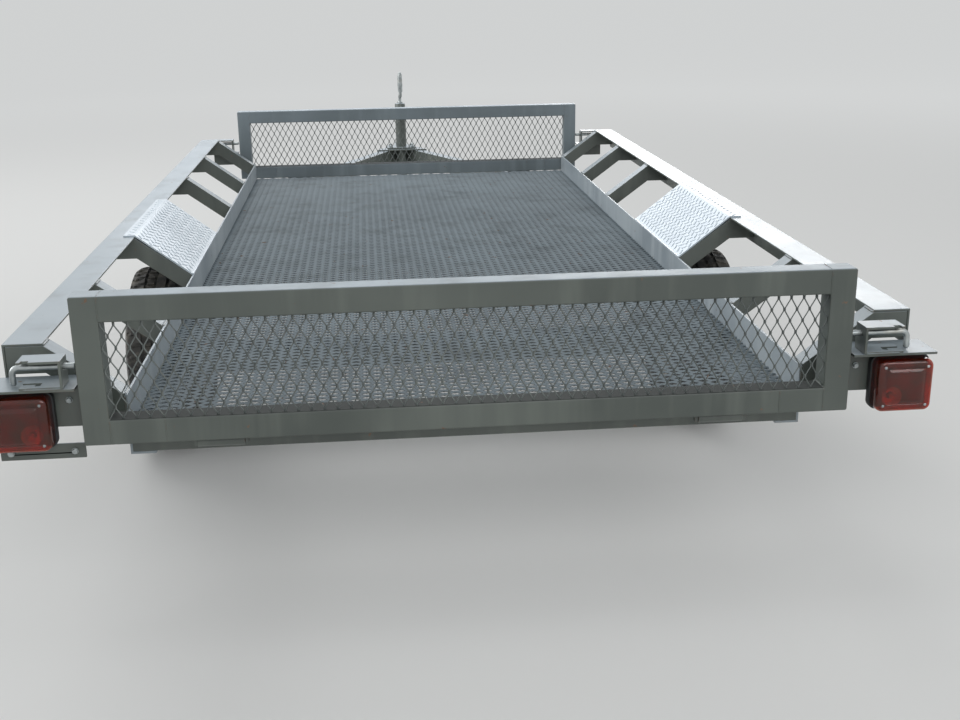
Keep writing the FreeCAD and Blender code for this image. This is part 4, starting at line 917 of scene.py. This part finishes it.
crankLine = [(0, jackY, top - jackSpec["crankSunk"]), (0, jackY, arm), (0, throw, arm), (0, throw, high.z)]
crankForm = bentBar(crankLine, jackSpec["crankBend"], jackSpec["crankRadius"], 20)
boss = lathed([(top + z, r) for z, r in scaled(jackSpec["boss"])], 28, atJack, closed=False)
placePiece("jackCrank", joined([crankForm, boss]), "chassis", "plated_steel", replaces=["jack_crank"])
profile = [(arm + up, r) for up, r in scaled(jackSpec["gripBottom"])]
profile += [(high.z - down, r) for down, r in scaled(jackSpec["gripTop"])]
placePiece("crankGrip", lathed(profile, 28, Matrix.Translation((0, throw, 0))), "chassis", "plated_steel")
print("jack made")

# bolts of the jack's flange, the lamp brackets and the number plate carrier: flats, height, washer
boltSpec = {
    "flange": (16 * mm, 7 * mm, 20 * mm), "lamp": (10 * mm, 4.5 * mm, 13 * mm),
    # out from the gate's post or the carrier's middle, and down from the top or up from the bottom
    "lampAt": (30 * mm, 36 * mm), "carrierAt": (12 * mm, 10 * mm), "plateAt": (60 * mm, 15 * mm)}
bolts = []
flats, height, washer = boltSpec["flange"]
boltX, boltY = jackSpec["flangeBolts"]
for signX, signY in ((-1, -1), (-1, 1), (1, -1), (1, 1)):
    at = (signX * boltX, jackY + signY * boltY, plateTop + thick)
    bolts.append(hexHead(at, (0, 0, 1), flats, height, washer=washer, turn=0.3 * signX + signY))
flats, height, washer = boltSpec["lamp"]
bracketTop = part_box("lamp_bracket_right")[1].z
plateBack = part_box("lamp_housings")[1].y
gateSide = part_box("rear_gate_frame")[1].x
low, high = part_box("licence_bar")
barMiddle = (low.x + high.x) / 2
(lampX, lampZ), (barX, barZ), (plateX, plateZ) = (boltSpec[key] for key in ("lampAt", "carrierAt", "plateAt"))
pairs = ((0, gateSide + lampX, plateBack, bracketTop - lampZ), (barMiddle, barX, plateBack, high.z - barZ),
         (barMiddle, plateX, low.y, low.z + plateZ))
for x, out, y, z in pairs:
    for at in ((x - out, y, z), (x + out, y, z)):
        # each head stands at its own angle
        bolts.append(hexHead(at, (0, -1, 0), flats, height, washer=washer, turn=at[0] * 40))
placePiece("plateBolts", joined(bolts), "chassis", "plated_steel")
print("bolts made")

# runs of weld metal where members meet
weldSpec = {
    "radius": 3 * mm, "rungs": 7, "rungWidth": 50 * mm, "short": 2 * mm, "upright": (52 * mm, 3 * mm),
    "underRail": 5 * mm, "lightRadius": 2.7 * mm, "smallRadius": 2.4 * mm,
    # in from the lamp bracket's inner end and from the rail's outer face, and down from the bracket's top
    "bracket": (85 * mm, 8 * mm), "bracketDown": 4 * mm, "bracketProud": 1 * mm,
    # in from the latch bracket's outer face, and up from the lamp bracket
    "latch": (76 * mm, 8 * mm), "latchUp": 1 * mm,
    # the gates: their tubes' width, seams across their lower rails, and runs along the hinge barrels,
    # in from their outer ends
    "gateTube": 50 * mm, "gateRadius": 1.6 * mm, "gateShort": 3 * mm, "proud": 0.5 * mm,
    "seams": (-588 * mm, 602 * mm), "barrel": (88 * mm, 2 * mm), "barrelOut": 8 * mm, "barrelDown": 1.5 * mm}
railLow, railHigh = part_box("side_rail_right")
outerLow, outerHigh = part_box("outer_rail_right")
shelfLow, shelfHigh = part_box("lamp_bracket_right")
latchLow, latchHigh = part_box("rear_latch_brackets")
radius, width, short = weldSpec["radius"], weldSpec["rungWidth"], weldSpec["short"]
foot, head = (railHigh.z - down for down in weldSpec["upright"])
bay = (railHigh.y - railLow.y) / (weldSpec["rungs"] - 1)
beads = []
for number in range(weldSpec["rungs"]):
    inset = {0: 0, weldSpec["rungs"] - 1: width}.get(number, width / 2)
    y = railLow.y + number * bay - inset
    for x, z in ((railHigh.x, railHigh.z), (outerLow.x, outerHigh.z - weldSpec["underRail"])):
        beads.append(weldBead((x, y + short, z), (x, y + width - short, z), radius))
    for along in (y, y + width):
        beads.append(weldBead((railHigh.x, along, foot), (railHigh.x, along, head), weldSpec["lightRadius"]))
y, z = railLow.y + weldSpec["bracketProud"], shelfHigh.z - weldSpec["bracketDown"]
inner, outer = shelfLow.x + weldSpec["bracket"][0], outerHigh.x - weldSpec["bracket"][1]
beads.append(weldBead((inner, y, z), (outer, y, z), radius))
y, z = latchLow.y - weldSpec["proud"], shelfHigh.z + weldSpec["latchUp"]
inner, outer = (latchHigh.x - back for back in weldSpec["latch"])
beads.append(weldBead((inner, y, z), (outer, y, z), weldSpec["smallRadius"]))
placePiece("chassisWelds", bothSides(joined(beads)), "chassis", "frame_paint")


def gateWelds(end, spec):
    # where the rails meet the posts, seams across the lower rail, and runs along the hinge barrels
    low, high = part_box(f"{end}_gate_frame")
    wide, radius, short, proud = spec["gateTube"], spec["gateRadius"], spec["gateShort"], spec["proud"]
    seam = high.x - wide
    runs = [(seam, y, z) for y in (low.y + proud, high.y - proud) for z in (low.z, high.z - wide)]
    beads = [weldBead((x, y, z + short), (x, y, z + wide - short), radius) for x, y, z in runs]
    z = high.z - proud
    beads.append(weldBead((seam, low.y + short, z), (seam, high.y - short, z), radius))
    forms = [bothSides(joined(beads))]
    y = low.y + proud
    for x in spec["seams"]:
        forms.append(weldBead((x, y, low.z + short), (x, y, low.z + wide - short), radius))
    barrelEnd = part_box(f"{end}_gate_barrels")[1].x
    start, stop = (barrelEnd - back for back in spec["barrel"])
    z = low.z - spec["barrelDown"]
    for sign in (-1, 1):
        for way in (-1, 1):
            y = (low.y + high.y) / 2 + way * spec["barrelOut"]
            forms.append(weldBead((sign * start, y, z), (sign * stop, y, z), spec["smallRadius"]))
    return joined(forms)


for end, finish in (("rear", gateEnamel), ("front", bleachedEnamel)):
    placePiece(f"{end}GateWelds", gateWelds(end, weldSpec), f"{end}_gate", "frame_paint", finish=finish)
print("welds made")

# CAD nodes that stay: enamel or plating by their slot, and edges rounded as rolled steel's, in millimetres
edgeWidths = {
    "side_rail": 1.2, "outer_rail": 1.6, "rungs": 2.5, "gate_frame": 3.2, "sill": 1.2, "crossmember": 3.0,
    "tongue_rail": 4.0, "lamp_bracket": 0.9, "latch_bracket": 1.2, "latch_shel": 1.2, "licence_bar": 0.8,
    "spring_hangers": 1.2, "spring_shackles": 1.0, "spring_seats": 1.2, "coupler": 2.0, "hinge_brackets": 0.8,
    "leaf_spring": 1.2}
ownFinish = {
    "rear_gate_frame": gateEnamel, "front_gate_frame": bleachedEnamel, "licence_bar": blackEnamel,
    "coupler": blackEnamel, "side_rail_left": rubbedEnamel, "side_rail_right": rubbedEnamel}
for row in frame["record"]["subparts"]:
    node = nodes[row["node"]]
    node.data.materials.clear()
    node.data.materials.append(ownFinish.get(row["node"], slotFinish[row["material_slot"]]))
    width = next((w for key, w in edgeWidths.items() if key in row["node"]), 0)
    if width and not node.hide_render:
        weld = node.modifiers.new("joinFacets", "WELD")
        weld.merge_threshold = 0.01 * mm
        softenEdges(node, width * mm)
print("frame nodes finished")

# pale studio floor: colours near the trailer and from far off, distances in metres, the world's strength
stageSpec = {"floor": "#cacac7", "near": "#dededc", "far": "#fafaf8", "farFrom": 2.5, "farTo": 11.0,
             "reach": 160.0, "sky": "#f2f4f6", "world": 0.74}


def makeStage():
    reach = stageSpec["reach"]
    corners = [(-reach, -reach, 0), (reach, -reach, 0), (reach, reach, 0), (-reach, reach, 0)]
    mesh = bpy.data.meshes.new("studioFloor")
    mesh.from_pydata(corners, [], [(0, 1, 2, 3)])
    floor = bpy.data.objects.new("studioFloor", mesh)
    bpy.context.scene.collection.objects.link(floor)
    material, tree, shader, place = startMaterial("paintedFloor", Roughness=1.0, Specular_IOR_Level=0.0)
    path = addNode(tree, "ShaderNodeLightPath")
    seen = addNode(tree, "ShaderNodeMath", {"operation": "MAXIMUM"},
                   {0: path.outputs["Is Camera Ray"], 1: path.outputs["Is Glossy Ray"]})
    away = addNode(tree, "ShaderNodeVectorMath", {"operation": "LENGTH"}, {0: place}).outputs["Value"]
    away = addNode(tree, "ShaderNodeMapRange",
                   {"interpolation_type": "SMOOTHSTEP", "From Min": stageSpec["farFrom"],
                    "From Max": stageSpec["farTo"]}, {"Value": away})
    shown = addNode(tree, "ShaderNodeMix", {"data_type": "RGBA", 6: linearColour(stageSpec["near"]),
                                            7: linearColour(stageSpec["far"])}, {0: away}).outputs[2]
    tone = addNode(tree, "ShaderNodeMix", {"data_type": "RGBA", 6: linearColour(stageSpec["floor"])},
                   {0: seen, 7: shown}).outputs[2]
    tree.links.new(tone, shader.inputs["Base Color"])
    mesh.materials.append(material)
    # the low softboxes ahead and on the left only light the trailer: the floor would glare under them
    sheenOnly = bpy.data.collections.new("sheenOnly")
    sheenOnly.objects.link(floor)
    sheenOnly.collection_objects[0].light_linking.link_state = "EXCLUDE"
    world = bpy.data.worlds.new("studio")
    bpy.context.scene.world = world
    world.use_nodes = True
    tree = world.node_tree
    background = tree.nodes["Background"]
    background.inputs["Color"].default_value = linearColour(stageSpec["sky"])
    path = addNode(tree, "ShaderNodeLightPath")
    bright = addNode(tree, "ShaderNodeMath", {"operation": "MAXIMUM"},
                     {0: path.outputs["Is Camera Ray"], 1: path.outputs["Is Glossy Ray"]})
    strength = addNode(tree, "ShaderNodeMapRange", {"To Min": stageSpec["world"], "To Max": 1.0},
                       {"Value": bright})
    tree.links.new(strength.outputs[0], background.inputs["Strength"])


# softboxes: place and aim in metres, width and height, watts, colour
lightSpec = {
    "backSoftbox": ((-0.5, 7.0, 3.6), (0, 0, 0.5), 4.2, 2.4, 66, "#eef5ff"),
    "rightSoftbox": ((3.7, 7.2, 2.4), (0.6, -0.5, 0.6), 4.6, 2.8, 165, "#ffffff"),
    "topSoftbox": ((-2.6, 2.4, 5.5), (0, -0.3, 0.4), 3.0, 3.0, 110, "#ffffff"),
    "leftSoftbox": ((-5.5, 0.5, 2.6), (0, 0, 0.6), 4.0, 2.4, 175, "#ffffff"),
    "rearSoftbox": ((1.8, -6.8, 3.4), (0, -1.5, 0.5), 4.0, 2.6, 95, "#ffffff")}
sheenLights = ("backSoftbox", "rightSoftbox", "leftSoftbox")


def makeLight(name, place, target, width, height, power, colour):
    light = bpy.data.lights.new(name, "AREA")
    light.shape, light.size, light.size_y, light.energy = "RECTANGLE", width, height, power
    light.color = linearColour(colour)[:3]
    lamp = bpy.data.objects.new(name, light)
    lamp.matrix_world = frameAt(Vector(place), Vector(place) - Vector(target))
    lamp.visible_camera = False
    bpy.context.scene.collection.objects.link(lamp)
    if name in sheenLights:
        lamp.light_linking.receiver_collection = bpy.data.collections["sheenOnly"]


# fitted to the photograph: place in metres from the bed's rear end, turns in radians, lens in millimetres
cameraSpec = {"fromBedEnd": (-0.1882, -2.2531, 0.7631), "yaw": -0.0910, "pitch": 0.3096, "roll": -0.0148,
              "lens": 44.92, "sensor": 36.0, "farthest": 400.0}


def makeCamera():
    railLow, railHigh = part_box("side_rail_left")
    yaw, pitch, roll = cameraSpec["yaw"], cameraSpec["pitch"], cameraSpec["roll"]
    ahead = Vector((-math.sin(yaw) * math.cos(pitch), math.cos(yaw) * math.cos(pitch), -math.sin(pitch)))
    right = Vector((math.cos(yaw), math.sin(yaw), 0))
    up = right.cross(ahead)
    right, up = right * math.cos(roll) + up * math.sin(roll), up * math.cos(roll) - right * math.sin(roll)
    data = bpy.data.cameras.new("photoCamera")
    data.lens, data.sensor_width, data.clip_end = (cameraSpec[key] for key in ("lens", "sensor", "farthest"))
    camera = bpy.data.objects.new("photoCamera", data)
    x, y, z = cameraSpec["fromBedEnd"]
    matrix = Matrix((right, up, -ahead)).transposed().to_4x4()
    matrix.translation = Vector((x, railLow.y + y, railHigh.z + z))
    camera.matrix_world = matrix
    bpy.context.scene.collection.objects.link(camera)
    bpy.context.scene.camera = camera


makeStage()
for name, values in lightSpec.items():
    makeLight(name, *values)
makeCamera()
bpy.context.scene.view_settings.view_transform = "Standard"
print("stage, lights and camera made")
